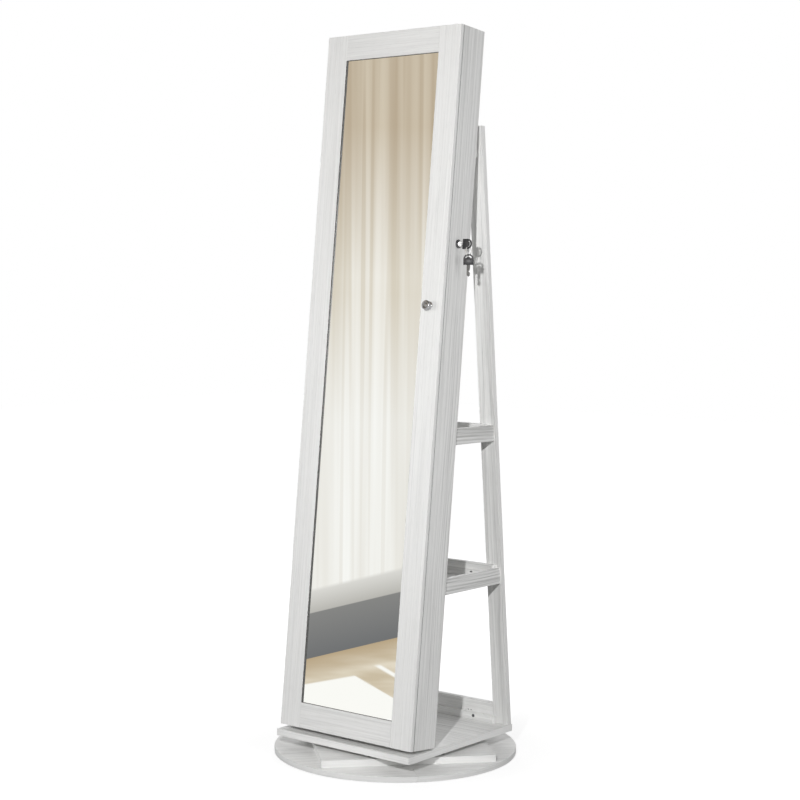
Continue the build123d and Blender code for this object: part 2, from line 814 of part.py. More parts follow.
def knob():
    """A stepped round knob, its screw coming from behind, and the door's other screws."""
    bore = knob_screw_radius + screw_clearance
    bore_end = knob_screw_bite + screw_clearance
    outline = [(bore, 0)]
    outline.extend([(knob_radius * share, knob_reach * rise) for share, rise in knob_profile])
    outline.extend([(0, bore_end), (bore, bore_end)])
    body = turned(outline)
    save("door_knob", slope * knob_place() * body)
    through_length = door_thickness + knob_screw_bite
    through = screw(knob_screw_radius, through_length, knob_screw_radius * 2, knob_screw_radius)
    seat = Pos(half_width - knob_inset, door_thickness, knob_height) * Rot(-90, 0, 0)
    short = screw(leaf_screw_radius, strike_screw_length(), strike_screw_head, strike_screw_head_height)
    screws = [slope * seat * through]
    screws.extend([slope * place * short for place in strike_screw_places()])
    screws.extend([slope * place * flush_screw() for place in leaf_screw_places(1)])
    save("door_screws", *screws)


def lock_strike():
    """A bracket on the door's back with a pin across its ears for the hook cam."""
    ears = (cam_inner - strike_ear_gap, cam_outer + strike_ear_gap)
    outside = (ears[0] - strike_wall, ears[1] + strike_wall)
    pin_depth = lock_depth - strike_radius
    tip = pin_depth + strike_pin_radius + strike_wall
    half_plate = strike_plate_height / 2
    half_ear = strike_ear_height / 2
    seated = (door_thickness, door_thickness + strike_wall)
    plate = block(outside, seated, (lock_height - half_plate, lock_height + half_plate))
    plate = drilled(plate, strike_screw_places(), leaf_screw_radius, strike_screw_length())
    for low in (outside[0], ears[1]):
        tall = (lock_height - half_ear, lock_height + half_ear)
        ear = block((low, low + strike_wall), (door_thickness, tip), tall)
        plate = plate + fillet(ear.edges().filter_by(Axis.X).group_by(Axis.Y)[-1], strike_wall)
    pin = rod(strike_pin_radius, (outside[0], pin_depth, lock_height), outside[1] - outside[0], "x")
    save("lock_strike", slope * (plate + pin))


# ---------------------------------------------------------------- lock
def lock_frame():
    """The lock's axis on the right panel: +X outwards, +Z up the slope."""
    return slope * Pos(0, lock_depth, lock_height)


def lock():
    """A cam lock through the right panel: barrel, nut, turning plug and hook cam."""
    at = lock_frame()
    flange = rod(lock_flange_radius, (half_width, 0, 0), lock_flange_thickness, "x")
    flange = chamfer(flange.edges().group_by(Axis.X)[-1], lock_flange_bevel)
    barrel = flange + rod(lock_barrel_radius, (barrel_end, 0, 0), half_width - barrel_end, "x")
    bore = rod(plug_radius, (barrel_end, 0, 0), half_width + lock_flange_thickness - barrel_end, "x")
    save("lock_barrel", at * (barrel - bore))
    hexagon = Plane.YZ.offset(inner_half - lock_nut_thickness) * RegularPolygon(lock_nut_radius, 6)
    nut = extrude(hexagon, lock_nut_thickness)
    nut = nut - rod(lock_barrel_radius + fit_clearance, (inner_half, 0, 0), -lock_nut_thickness, "x")
    save("lock_nut", at * nut)

    face = half_width + lock_flange_thickness + plug_proud
    core = rod(plug_radius - fit_clearance, (barrel_end, 0, 0), face - barrel_end, "x")
    square = (-plug_tail / 2, plug_tail / 2)
    tail = block((barrel_end - plug_tail_length, barrel_end), square, square)
    half_way = key_blade_thickness / 2 + keyway_clearance
    half_tall = key_blade_width / 2 + keyway_clearance
    keyway = block((barrel_end + keyway_end, face), (-half_way, half_way), (-half_tall, half_tall))
    save("lock_plug", at * (core + tail - keyway))
    save("lock_cam", at * cam())
    washer = rod(plug_tail, (barrel_end - plug_tail_length, 0, 0), -cam_thickness, "x")
    save("cam_screw", at * chamfer(washer.edges().group_by(Axis.X)[0], cam_screw_bevel))


def cam():
    """A hook cam, drawn pointing to the front and then turned down to its open position."""
    arm = Pos(cam_reach / 2, 0) * Rectangle(cam_reach, cam_width)
    arm = arm & Circle(cam_reach)
    slot = strike_pin_radius + strike_clearance
    ring = Circle(strike_radius + slot) - Circle(strike_radius - slot)
    open_side = Pos(strike_radius, cam_width / 2) * Rectangle(cam_reach, cam_width)
    mouth = ring & open_side
    shape = arm - mouth - Pos(strike_radius, 0) * Circle(slot)
    square = plug_tail + 2 * fit_clearance
    shape = shape + Circle(cam_hub_radius) - Rectangle(square, square)
    facing_front = Plane((cam_inner, 0, 0), x_dir=(0, -1, 0), z_dir=(-1, 0, 0))
    plate = extrude(facing_front * shape, -cam_thickness)
    return Rot(90, 0, 0) * plate


# ---------------------------------------------------------------- keys
def key_blade():
    """A flat key with V notches, running back along -X from the bow's edge at the origin."""
    half = key_blade_width / 2
    tip = -key_blade_length
    outline = [(key_blade_root, -half), (key_blade_root, half), (tip + half, half), (tip, 0)]
    outline.append((tip + half, -half))
    face = Plane.XZ * Polygon(*outline, align=None)
    blade = extrude(face, key_blade_thickness / 2, both=True)
    for index, cut in enumerate(key_notches):
        x = tip + key_notch_start + index * key_notch_step
        notch = [(x - cut, -half), (x + cut, -half), (x, cut - half)]
        wedge = extrude(Plane.XZ * Polygon(*notch, align=None), key_blade_thickness, both=True)
        blade = blade - wedge
    return blade


def key_bow():
    """A D-shaped grip round the key's root, with a crescent slot near its round end."""
    half = bow_width / 2
    plan = Pos(bow_centre / 2, 0) * Rectangle(bow_centre, bow_width)
    plan = plan + Pos(bow_centre, 0) * Circle(half)
    crescent = Circle(slot_outer) - Circle(slot_inner)
    wide = slot_outer * 2
    rise = wide * tan(radians(slot_half_angle))
    sector = Polygon((0, 0), (wide, -rise), (wide, rise), align=None)
    crescent = crescent & sector
    for angle in (-slot_half_angle, slot_half_angle):
        end = (slot_middle * cos(radians(angle)), slot_middle * sin(radians(angle)))
        crescent = crescent + Pos(*end) * Circle(slot_half)
    plan = plan - Pos(bow_centre, 0) * crescent
    grip = extrude(Plane.XZ * plan, bow_thickness / 2, both=True)
    rims = grip.edges().filter_by(Plane.XZ)
    grip = chamfer(rims, ease)
    half_root = key_blade_width / 2
    half_thick = key_blade_thickness / 2
    pocket = block((0, key_blade_root), (-half_thick, half_thick), (-half_root, half_root))
    return grip - pocket


def ring_place():
    """The top of the hanging key ring, in the low end of the inserted key's slot."""
    angle = radians(slot_half_angle)
    x = key_shoulder + bow_centre + slot_middle * cos(angle)
    drop = slot_middle * sin(angle) + slot_half - key_ring_wire - hang_clearance
    at = (lock_frame() * Pos(x, 0, -drop)).position
    return at


def spare_frame():
    """The spare key hangs from the ring's lowest point, its blade down."""
    top = ring_place()
    ring_bottom = top.Z - 2 * key_ring_radius
    slot_top = bow_centre + slot_outer
    z = ring_bottom + key_ring_wire + hang_clearance - slot_top
    return Location((top.X, top.Y, z)) * Rot(0, 0, spare_turn) * Rot(0, -90, 0)


def keys():
    """The key in the lock, the ring through its bow and the spare key on the ring."""
    inserted = lock_frame() * Pos(key_shoulder, 0, 0)
    save("key_blade", inserted * key_blade())
    save("key_bow", inserted * key_bow())
    top = ring_place()
    around = Location((top.X, top.Y, top.Z - key_ring_radius), (0, 90, 0))
    inside = key_ring_radius - key_ring_wire
    outside = key_ring_radius + key_ring_wire
    low = -key_ring_wire
    high = key_ring_wire
    save("key_ring", around * turned([(inside, low), (outside, low), (outside, high), (inside, high)]))
    save("spare_key_blade", spare_frame() * key_blade())
    save("spare_key_bow", spare_frame() * key_bow())


# ---------------------------------------------------------------- rear frame
def rear_screw_places():
    """Seats on the uprights' rear faces: two at the head rail and one at each tray."""
    head_middle = upright_top - head_rail_drop - head_rail_height / 2
    heights = [head_middle - head_rail_height / 4, head_middle + head_rail_height / 4]
    for level in tray_levels:
        heights.append(platform_top + level + tray_height / 2)
    places = []
    for side in (-1, 1):
        x = side * (upright_inner + (tray_inner - upright_inner) / 2)
        for z in heights:
            places.append(Pos(x, upright_front_y(z) + upright_reach, z) * Rot(-90 + upright_lean, 0, 0))
    return places


def leaning_outline(low, high):
    """The (y, z) outline of a board that leans in the uprights' plane, sawn level at both ends."""
    return [
        (upright_front_y(low), low),
        (upright_front_y(low) + upright_reach, low),
        (upright_front_y(high) + upright_reach, high),
        (upright_front_y(high), high),
    ]


def uprights():
    """The two rear legs, sawn level at both ends."""
    outline = leaning_outline(platform_top, upright_top)
    foot_length = platform_thickness + platform_screw_bite
    lean = radians(upright_lean)
    grain = Axis((0, upright_foot, platform_top), (0, -sin(lean), cos(lean)))
    for name, side in (("left", -1), ("right", 1)):
        low, high = sorted((side * upright_inner, side * half_width))
        leg = prism(outline, low, high)
        leg = chamfer(leg.edges().filter_by(grain), ease)
        leg = drilled(leg, rear_screw_places(), wood_screw_radius, rear_screw_length)
        leg = drilled(leg, upright_foot_screws(), wood_screw_radius, foot_length)
        save(f"rear_upright_{name}", leg)


def head_rail():
    """A tapered block that joins the uprights to the cabinet's back near their tops."""
    high = upright_top - head_rail_drop
    low = high - head_rail_height
    outline = [
        (cabinet_back_y(low), low),
        (upright_front_y(low), low),
        (upright_front_y(high), high),
        (cabinet_back_y(high), high),
    ]
    reach = half_width - head_rail_inset
    rail = prism(outline, -reach, reach)
    rail = drilled(rail, rear_screw_places(), wood_screw_radius, rear_screw_length)
    save("head_rail", rail)


def tray(name, level, back_height):
    """A shelf tray: two side rails, a back rail between them and a thin floor in their grooves."""
    low = platform_top + level
    high = low + tray_height
    floor = (low + tray_floor_rise, low + tray_floor_rise + tray_floor)
    floor_front = cabinet_back_y(floor[1])
    floor_back = upright_front_y(floor[1]) - tray_rail + tray_groove
    floor_half = tray_inner + tray_groove
    bed = block((-floor_half, floor_half), (floor_front, floor_back), floor)
    groove_back = upright_front_y(floor[0]) - tray_rail + tray_groove
    groove = block((-floor_half, floor_half), (floor_front - tray_rail, groove_back), floor)
    sides = []
    outline = [
        (cabinet_back_y(low), low),
        (upright_front_y(low), low),
        (upright_front_y(high), high),
        (cabinet_back_y(high), high),
    ]
    for side in (-1, 1):
        near, far = sorted((side * tray_inner, side * tray_outer))
        rail = prism(outline, near, far)
        rail = rail - groove
        for place in tray_screw_places():
            rail = rail - slope * place * shank_hole(wood_screw_radius, tray_screw_length)
        sides.append(rail)
    save(f"{name}_tray_sides", *sides)
    outline = []
    rim = low + back_height
    for z, offset in ((low, -tray_rail), (low, 0), (rim, 0), (rim, -tray_rail)):
        outline.append((upright_front_y(z) + offset, z))
    back = prism(outline, -tray_inner, tray_inner)
    back = back - groove
    back = drilled(back, rear_screw_places(), wood_screw_radius, rear_screw_length)
    height = low + pilot_rise
    for side in (-1, 1):
        start = (side * pilot_spread, upright_front_y(height) - tray_rail - overrun, height)
        back = back - rod(pilot_radius, start, pilot_depth, "y")
    save(f"{name}_tray_back", back)
    save(f"{name}_tray_floor", bed)


def rear_foot():
    """The low rail between the uprights and the batten that ties it to the platform."""
    outline = leaning_outline(platform_top, platform_top + rear_rail_height)
    rail = prism(outline, -upright_inner, upright_inner)
    rail = drilled(rail, batten_screw_places(), wood_screw_radius, rail_screw_length)
    height = platform_top + batten_height + rail_hole_rise
    start = upright_front_y(height) - overrun
    for side in (-1, 1):
        for x in (rail_hole_near, rail_hole_near + rail_hole_step):
            rail = rail - rod(rail_hole_radius, (side * x, start, height), rail_hole_depth + overrun, "y")
    save("rear_rail", rail)
    reach = batten_length / 2
    tall = (platform_top, platform_top + batten_height)
    batten = board((-reach, reach), (batten_back - batten_depth, batten_back), tall, Axis.X)
    batten = drilled(batten, batten_screw_places(), wood_screw_radius, rail_screw_length)
    batten = drilled(batten, batten_foot_screws(), wood_screw_radius, platform_thickness + batten_screw_bite)
    save("rear_batten", batten)


def batten_screw_places():
    """Seats on the batten's front face of the screws into the rear rail."""
    seat = batten_back - batten_depth
    height = platform_top + rail_screw_height
    return [Pos(sx * rail_screw_spread, seat, height) * Rot(90, 0, 0) for sx in (-1, 1)]


def rear_frame():
    """Everything that props the cabinet up from behind."""
    uprights()
    head_rail()
    tray("lower", lower_tray_level, lower_back_height)
    tray("upper", upper_tray_level, upper_back_height)
    rear_foot()
    fastener = screw(wood_screw_radius, rear_screw_length, wood_screw_head, wood_screw_head_height)
    screws = [place * fastener for place in rear_screw_places()]
    fastener = screw(wood_screw_radius, rail_screw_length, wood_screw_head, wood_screw_head_height)
    screws.extend([place * fastener for place in batten_screw_places()])
    save("rear_screws", *screws)
    fastener = screw(wood_screw_radius, tray_screw_length, tray_screw_head, wood_screw_head_height)
    save("tray_screws", *[slope * place * fastener for place in tray_screw_places()])


base()
swivel()
platform()
cabinet()
shelves()
earring_board()
necklace_hooks()
ring_cushion()
bracelet_bar()
hinges()
door()
knob()
lock_strike()
lock()
keys()
rear_frame()
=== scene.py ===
import json
import math
from functools import partialmethod

import bmesh
import bpy
from bpy.props import FloatProperty, FloatVectorProperty, IntProperty, PointerProperty
from mathutils import Matrix, Vector


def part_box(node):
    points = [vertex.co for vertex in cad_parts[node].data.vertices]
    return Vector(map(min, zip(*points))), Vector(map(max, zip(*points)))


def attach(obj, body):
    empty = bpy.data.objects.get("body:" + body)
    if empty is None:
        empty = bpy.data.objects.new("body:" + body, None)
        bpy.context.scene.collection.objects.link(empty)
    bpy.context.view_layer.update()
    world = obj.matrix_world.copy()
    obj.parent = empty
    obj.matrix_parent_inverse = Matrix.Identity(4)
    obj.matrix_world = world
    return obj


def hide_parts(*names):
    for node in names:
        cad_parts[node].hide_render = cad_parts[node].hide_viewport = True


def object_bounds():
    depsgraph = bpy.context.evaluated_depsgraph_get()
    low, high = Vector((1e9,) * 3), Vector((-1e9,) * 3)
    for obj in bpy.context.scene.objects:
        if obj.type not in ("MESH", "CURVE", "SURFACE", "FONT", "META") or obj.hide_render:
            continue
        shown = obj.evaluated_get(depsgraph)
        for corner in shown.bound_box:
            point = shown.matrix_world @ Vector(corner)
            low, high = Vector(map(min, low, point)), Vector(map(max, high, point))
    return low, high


bl_info = {
    "name": "Mirror cabinet finishes",
    "version": (1, 0, 0),
    "blender": (4, 5, 0),
    "location": "View3D > Sidebar > Mirror cabinet",
    "description": "Gives the leaning mirror cabinet its laminate, glass, metal and soft finishes",
    "category": "Object",
}

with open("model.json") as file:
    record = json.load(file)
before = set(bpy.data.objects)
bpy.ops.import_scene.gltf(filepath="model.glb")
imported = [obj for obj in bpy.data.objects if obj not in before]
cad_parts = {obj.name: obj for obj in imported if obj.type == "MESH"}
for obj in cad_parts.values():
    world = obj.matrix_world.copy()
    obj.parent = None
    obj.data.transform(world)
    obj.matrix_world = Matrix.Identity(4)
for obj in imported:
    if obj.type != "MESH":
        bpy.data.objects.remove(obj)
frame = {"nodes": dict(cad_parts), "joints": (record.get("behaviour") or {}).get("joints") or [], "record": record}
CAD_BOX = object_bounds()

MM = 0.001
UP = Vector((0, 0, 1))

# ---- where the boards lean
HINGE_AXIS = Vector(next(joint["axis"] for joint in frame["joints"] if joint["name"] == "door_hinge"))
CABINET_LEAN = math.atan2(-HINGE_AXIS.y, -HINGE_AXIS.z)


def vertices(node):
    """The corner points of a CAD node's mesh."""
    return [vertex.co.copy() for vertex in frame["nodes"][node].data.vertices]


def lean_forwards(node):
    """How far a board that is sawn level at both ends leans towards -Y."""
    points = vertices(node)
    low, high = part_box(node)
    foot = min(point.y for point in points if point.z < low.z + MM)
    top = min(point.y for point in points if point.z > high.z - MM)
    return math.atan2(foot - top, high.z - low.z)


def turn_about(axis, angle):
    """A rotation about one axis, as a 3 by 3 matrix."""
    return Matrix.Rotation(angle, 3, axis)


def base_turn():
    """How far the base's boards stand turned about Z: the angle of the joint between the half discs."""
    low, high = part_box("base_disc_right")
    middle = (low + high) / 2
    return math.atan2(middle.y, middle.x)


LEVEL = Matrix.Identity(3)
ON_SLOPE = turn_about("X", CABINET_LEAN)
ON_UPRIGHT = turn_about("X", -lean_forwards("rear_upright_right"))
ON_BASE = turn_about("Z", -base_turn())
QUARTER = math.radians(90)
GRAIN_TO_Z = {"x": turn_about("Y", QUARTER), "y": turn_about("X", QUARTER), "z": LEVEL}

OPENING_ABOVE, OPENING_BELOW = 1, -1


def board(stand, grain, lively, arch=0.012, lip=0, seam=0, core=0, thin=None):
    """A board's looks: how it stands, its grain's direction, how lively and how arched the figure is,
    on which side of it the mirror's opening lies and how dark the painted shade on that lip is,
    whether the door's seam runs along its front with painted shade in it, whether painted shade darkens
    the walls of its holes, and its thin direction where its box doesn't tell."""
    return {"stand": stand, "grain": grain, "lively": lively, "arch": arch, "lip": lip, "seam": seam,
            "core": core, "thin": thin}


BOARDS = {
    "door_stile_left": board(ON_SLOPE, "z", 0.3, lip=OPENING_ABOVE),
    "door_stile_right": board(ON_SLOPE, "z", 0.3, lip=0.35 * OPENING_BELOW),
    "door_rail_top": board(ON_SLOPE, "x", 0.5, lip=OPENING_BELOW),
    "door_rail_bottom": board(ON_SLOPE, "x", 0.9, lip=OPENING_ABOVE),
    **dict.fromkeys(("side_panel_left", "side_panel_right"), board(ON_SLOPE, "z", 1.2, seam=1)),
    "top_panel": board(ON_SLOPE, "x", 0.6),
    "bottom_panel": board(ON_SLOPE, "x", 0.5),
    "back_panel": board(ON_SLOPE, "z", 0.7),
    "shelves": board(ON_SLOPE, "x", 0.5, thin="z"),
    **dict.fromkeys(("rear_upright_left", "rear_upright_right"), board(ON_UPRIGHT, "z", 1.6)),
    "head_rail": board(ON_UPRIGHT, "x", 0.8),
    "upper_tray_sides": board(LEVEL, "y", 2.4, arch=0.2, thin="x"),
    "upper_tray_back": board(ON_UPRIGHT, "x", 1.4, arch=0.05, core=1),
    "upper_tray_floor": board(LEVEL, "x", 0.7),
    "lower_tray_sides": board(LEVEL, "y", 2.4, arch=0.25, thin="x"),
    "lower_tray_back": board(ON_UPRIGHT, "x", 1.4, arch=0.05, core=1),
    "lower_tray_floor": board(LEVEL, "x", 0.7),
    "rear_rail": board(ON_UPRIGHT, "x", 1.4, arch=0.05, core=1),
    "rear_batten": board(LEVEL, "x", 0.7, core=1),
    "plinth_wedge": board(LEVEL, "x", 0.6),
    "platform": board(LEVEL, "x", 1.5),
    **dict.fromkeys(("cross_board", "base_disc_left", "base_disc_right"), board(ON_BASE, "x", 0.9)),
}
FIRST_SEED, SEED_STEP = 0.37, 0.61      # of the boards' figures


# ---- user settings
def colour_setting(name, description, default):
    """A colour that the user may change."""
    return FloatVectorProperty(name=name, description=description, default=default, min=0, max=1,
                               size=3, subtype="COLOR")


def length_setting(name, description, default, least, most):
    """A length that the user may change."""
    return FloatProperty(name=name, description=description, default=default, min=least, max=most,
                         subtype="DISTANCE", unit="LENGTH")


def share_setting(name, description, default, most=1.0):
    """A share that the user may change."""
    return FloatProperty(name=name, description=description, default=default, min=0, max=most,
                         subtype="FACTOR")


def power_setting(name, description, default):
    """A lamp's power that the user may change."""
    return FloatProperty(name=name, description=description, default=default, min=0, max=2000,
                         unit="POWER")


def angle_setting(name, description, degrees):
    """An angle that the user may change."""
    return FloatProperty(name=name, description=description, default=math.radians(degrees),
                         subtype="ANGLE", unit="ROTATION")


class MirrorLaminateSettings(bpy.types.PropertyGroup):
    """The white oak-look laminate."""

    pale: colour_setting("Ground", "Colour between the grain lines", (0.88, 0.88, 0.87))
    grain: colour_setting("Grain", "Colour of the printed grain lines", (0.50, 0.50, 0.49))
    ring_width: length_setting("Ring width", "Distance from one growth line to the next",
                               6.5 * MM, 1 * MM, 40 * MM)
    relief: length_setting("Relief", "Depth of the embossed pores", 0.06 * MM, 0, 1 * MM)
    # shadow_gap: the colour of the painted shade on the mirror's lip, in the seam round the door and on the walls
    # of holes
    shadow_gap: colour_setting("Shadow gap", "Colour of the mirror's lip and of the seam round the door",
                               (0.06, 0.06, 0.058))
    edge_band: length_setting("Edge band", "Thickness of the strip glued on the boards' edges",
                              0.7 * MM, 0.2 * MM, 3 * MM)


class MirrorMetalSettings(bpy.types.PropertyGroup):
    """The bright and dark metals."""

    chrome: colour_setting("Chrome", "Colour of the knob", (0.4, 0.4, 0.41))
    nickel: colour_setting("Nickel", "Colour of the lock's plug and the key ring", (0.84, 0.83, 0.81))
    steel: colour_setting("Steel", "Colour of the nickel-plated steel", (0.60, 0.60, 0.61))
    dark_steel: colour_setting("Dark steel", "Colour of the lock's barrel and the blackened screws",
                               (0.12, 0.12, 0.125))
    thread_pitch: length_setting("Thread pitch", "From one turn of a wood screw's thread to the next",
                                 1.6 * MM, 0.4 * MM, 5 * MM)
    thread_depth: share_setting("Thread depth", "How deep the thread is cut, as a share of the radius",
                                0.22, 0.5)


class MirrorSoftSettings(bpy.types.PropertyGroup):
    """The ring cushion and its velvet."""

    velvet: colour_setting("Velvet", "Colour of the velvet", (0.035, 0.035, 0.04))
    rolls: IntProperty(name="Rolls", description="Soft rolls side by side", default=5, min=1, max=12)
    pinch: length_setting("Pinch", "How much the rolls draw in at their sewn ends", 1.6 * MM, 0, 8 * MM)


class MirrorStageSettings(bpy.types.PropertyGroup):
    """Camera, lights, floor and what stands in front of the glass."""

    lens: FloatProperty(
        name="Lens", description="Focal length on a 36 mm wide sensor",
        default=78.1, min=10, max=300, subtype="DISTANCE_CAMERA",
    )
    distance: length_setting("Distance", "From the swivel's axis to the camera, along the floor",
                             3.78774, 0.5, 20)
    height: length_setting("Height", "Height of the camera above the floor", 1.0252, 0, 5)
    azimuth: angle_setting("Azimuth", "How far round to the right of the front the camera stands", 38.927)
    yaw: angle_setting("Yaw", "Aim to the side of the swivel's axis", -0.061)
    pitch: angle_setting("Pitch", "How far the camera looks down", 3.772)
    roll: angle_setting("Roll", "How far the camera is rolled", 0.479)
    key_place: FloatVectorProperty(
        name="Key place", description="Where the main lamp stands",
        default=(1.24, -2.18, 1.43), size=3, subtype="XYZ", unit="LENGTH",
    )
    key_power: power_setting("Key power", "Power of the main lamp", 43.5)
    key_size: length_setting("Key size", "Width of the main lamp", 0.07, 0.01, 3)
    fill_power: power_setting("Fill power", "Power of the soft lamp at the front left", 22.5)
    side_power: power_setting("Side power", "Power of the soft lamp at the right", 19.0)
    back_power: power_setting("Back power", "Power of the soft lamp behind", 34.0)
    top_power: power_setting("Top power", "Power of the soft lamp overhead", 9.0)
    soft_size: length_setting("Soft size", "Width of the soft lamps", 1.8, 0.1, 5)
    ambient: FloatProperty(
        name="Ambient", description="Strength of the even light all round",
        default=0.055, min=0, max=5,
    )
    floor_tone: share_setting("Floor tone", "How much light the floor throws back at the object", 0.25)
    room_depth: length_setting("Room depth", "How far behind the glass the reflected curtain seems to hang",
                               0.9, 0.5, 5)


SETTINGS = (MirrorLaminateSettings, MirrorMetalSettings, MirrorSoftSettings, MirrorStageSettings)
SETTING_NAMES = ("mirror_laminate", "mirror_metal", "mirror_soft", "mirror_stage")


# ---- node tree helpers
class Graph:
    """Adds nodes to one tree. The methods return the sockets that hold their results."""

    def __init__(self, tree):
        self.tree = tree

    def node(self, kind, inputs=None, **props):
        """A node with its properties set, and its inputs set or linked."""
        node = self.tree.nodes.new(kind)
        for key, value in props.items():
            setattr(node, key, value)
        for key, value in (inputs or {}).items():
            if isinstance(value, bpy.types.NodeSocket):
                self.tree.links.new(value, node.inputs[key])
            else:
                node.inputs[key].default_value = value
        return node

    def maths(self, operation, *values, clamp=False):
        """One operation on numbers."""
        node = self.node("ShaderNodeMath", dict(enumerate(values)), operation=operation, use_clamp=clamp)
        return node.outputs[0]

    def chain(self, operation, first, *others):
        """Several numbers taken together by one operation."""
        for other in others:
            first = self.maths(operation, first, other)
        return first

    plus = partialmethod(chain, "ADD")
    minus = partialmethod(chain, "SUBTRACT")
    times = partialmethod(chain, "MULTIPLY")
    least = partialmethod(chain, "MINIMUM")
    most = partialmethod(chain, "MAXIMUM")

    def times_plus(self, value, factor, added, clamp=False):
        """A value times a factor, with a number added."""
        return self.maths("MULTIPLY_ADD", value, factor, added, clamp=clamp)

    def vector(self, operation, *values, output=0):
        """One operation on vectors, which gives a vector, or a number in the output Value."""
        node = self.node("ShaderNodeVectorMath", dict(enumerate(values)), operation=operation)
        return node.outputs[output]

    def join(self, x, y, z):
        """A vector from its three numbers."""
        return self.node("ShaderNodeCombineXYZ", {0: x, 1: y, 2: z}).outputs[0]

    def parts(self, vector):
        """The three numbers of a vector."""
        return list(self.node("ShaderNodeSeparateXYZ", {0: vector}).outputs)

    def ramp(self, value, low, high, to_low=0.0, to_high=1.0):
        """A value moved from one range to another, clamped."""
        inputs = {"Value": value, "From Min": low, "From Max": high, "To Min": to_low, "To Max": to_high}
        return self.node("ShaderNodeMapRange", inputs, clamp=True).outputs[0]

    def mix(self, factor, *colours):
        """Two colours mixed."""
        inputs = {0: factor}
        for key, colour in zip((6, 7), colours):
            inputs[key] = colour if isinstance(colour, bpy.types.NodeSocket) else rgba(colour)
        return self.node("ShaderNodeMix", inputs, data_type="RGBA").outputs[2]

    def noise(self, vector, scale, detail=2.0, roughness=0.5, stretch=(1, 1, 1)):
        """A noise value, stretched along some axes."""
        moved = self.node("ShaderNodeMapping", {"Vector": vector, "Scale": stretch}).outputs[0]
        inputs = {"Vector": moved, "Scale": scale, "Detail": detail, "Roughness": roughness}
        return self.node("ShaderNodeTexNoise", inputs).outputs[0]

    def coordinates(self, kind="Object"):
        """Coordinates on the surface: Object is the frame that every piece shares."""
        return self.node("ShaderNodeTexCoord").outputs[kind]

    def own_frame(self, rotation, low):
        """Coordinates along a board that start at its lowest corner."""
        inputs = {"Vector": self.coordinates(), "Rotation": rotation.to_euler("XYZ"), "Location": -low}
        return self.node("ShaderNodeMapping", inputs).outputs[0]

    def surface(self, shader, colour, roughness, height=None, depth=0.0, strength=1.0):
        """Links a colour, a roughness and a relief of some depth to a shader."""
        self.tree.links.new(colour, shader.inputs["Base Color"])
        self.tree.links.new(roughness, shader.inputs["Roughness"])
        if height is not None:
            inputs = {"Height": height, "Distance": depth, "Strength": strength}
            bump = self.node("ShaderNodeBump", inputs)
            self.tree.links.new(bump.outputs[0], shader.inputs["Normal"])

    def output(self, result):
        """Links a shader's result to the material's surface."""
        self.tree.links.new(result, self.tree.nodes["Material Output"].inputs["Surface"])


def rgba(colour):
    """A colour with its alpha."""
    return (*colour, 1.0)


def scaled(values, share):
    """A colour's channels, or other numbers, times a share."""
    return [value * share for value in values]


def open_sockets(tree, direction, kinds):
    """Gives a tree its named inputs or outputs."""
    for name, kind in kinds.items():
        tree.interface.new_socket(name, in_out=direction, socket_type=f"NodeSocket{kind}")


def new_material(name):
    """An empty material, its graph and its principled shader."""
    material = bpy.data.materials.new(name)
    material.use_nodes = True
    g = Graph(material.node_tree)
    return material, g, material.node_tree.nodes["Principled BSDF"]


def glowing(name, colour_of):
    """A material that only glows, in the colour that a function gives for its graph."""
    material, g, shader = new_material(name)
    g.tree.nodes.remove(shader)
    glow = g.node("ShaderNodeEmission", {"Color": colour_of(g), "Strength": 1.0})
    g.output(glow.outputs[0])
    return material


# ---- laminate
# Layers of the printed figure: noise scale, detail, roughness, how much it is squeezed along the
# grain, and the two noise values between which the layer comes in.
FIGURE_LAYERS = {
    "fade": (22.0, 1.0, 0.5, 0.12, 0.32, 0.68),
    "fibre": (330.0, 4.0, 0.75, 0.012, 0.42, 0.66),
    "broad": (26.0, 2.0, 0.5, 0.03, 0.3, 0.75),
    "pores": (1300.0, 1.0, 0.5, 0.035, 0.6, 0.72),
    "streak": (150.0, 2.0, 0.6, 0.012, 0.5, 0.62),
    "band": (330.0, 3.0, 0.7, 1, 0.45, 0.66),
    # wear: the patches of the painted highlight along the edges
    "wear": (90.0, 2.0, 0.5, 1, 0.3, 0.7),
}
# What bends the growth lines: noise scale, detail, roughness, squeeze along the grain, and how much.
GROWTH_BENDS = {
    "warp": (7.0, 2.0, 0.5, 0.16, 0.05),
    "wander": (3.0, 1.0, 0.5, 1, 0.12),
    "ripple": (60.0, 2.0, 0.6, 0.1, 1.2),
    "crowding": (24.0, 1.0, 0.5, 0.03, 4.0),
}
SEED_SHIFT = (1.7, 3.1)             # of the figure in Y and Z, for one unit of seed in X
SEED_TURN = 5.0                     # of the sine that sways the heart
HEART_DEPTH = 0.015                 # how far behind the board the tree's heart lies
HEART_ASIDE, HEART_SWAY = 0.07, 0.02    # how far beside it, and how that varies
LATE_WOOD, LATE_END = (0.35, 0.86), (1.0, 0.9)      # where a growth line darkens, and where it ends
DEEP_LINE, DEEP_STREAK, DEEP_FIBRE, DEEP_BROAD, DEEP_PORES = 0.34, 0.2, 0.18, 0.07, 0.2
LIVELY_FIBRE = 0.1                  # how much deeper a lively board's fibres are
BAND_LINES, BAND_GROUND, BAND_SQUEEZE = 0.25, 0.04, (0.012, 0.012, 0.012)
ON_BAND = (0.7, 0.3)                # share of the thin direction in a face's direction
GLUE_START, GLUE_END = (0.8, 1.0), (1.5, 1.2)       # of the glue line, in edge bands from the edge
GLUE_LINE, GLUE_SHADE = 0.2, 0.7
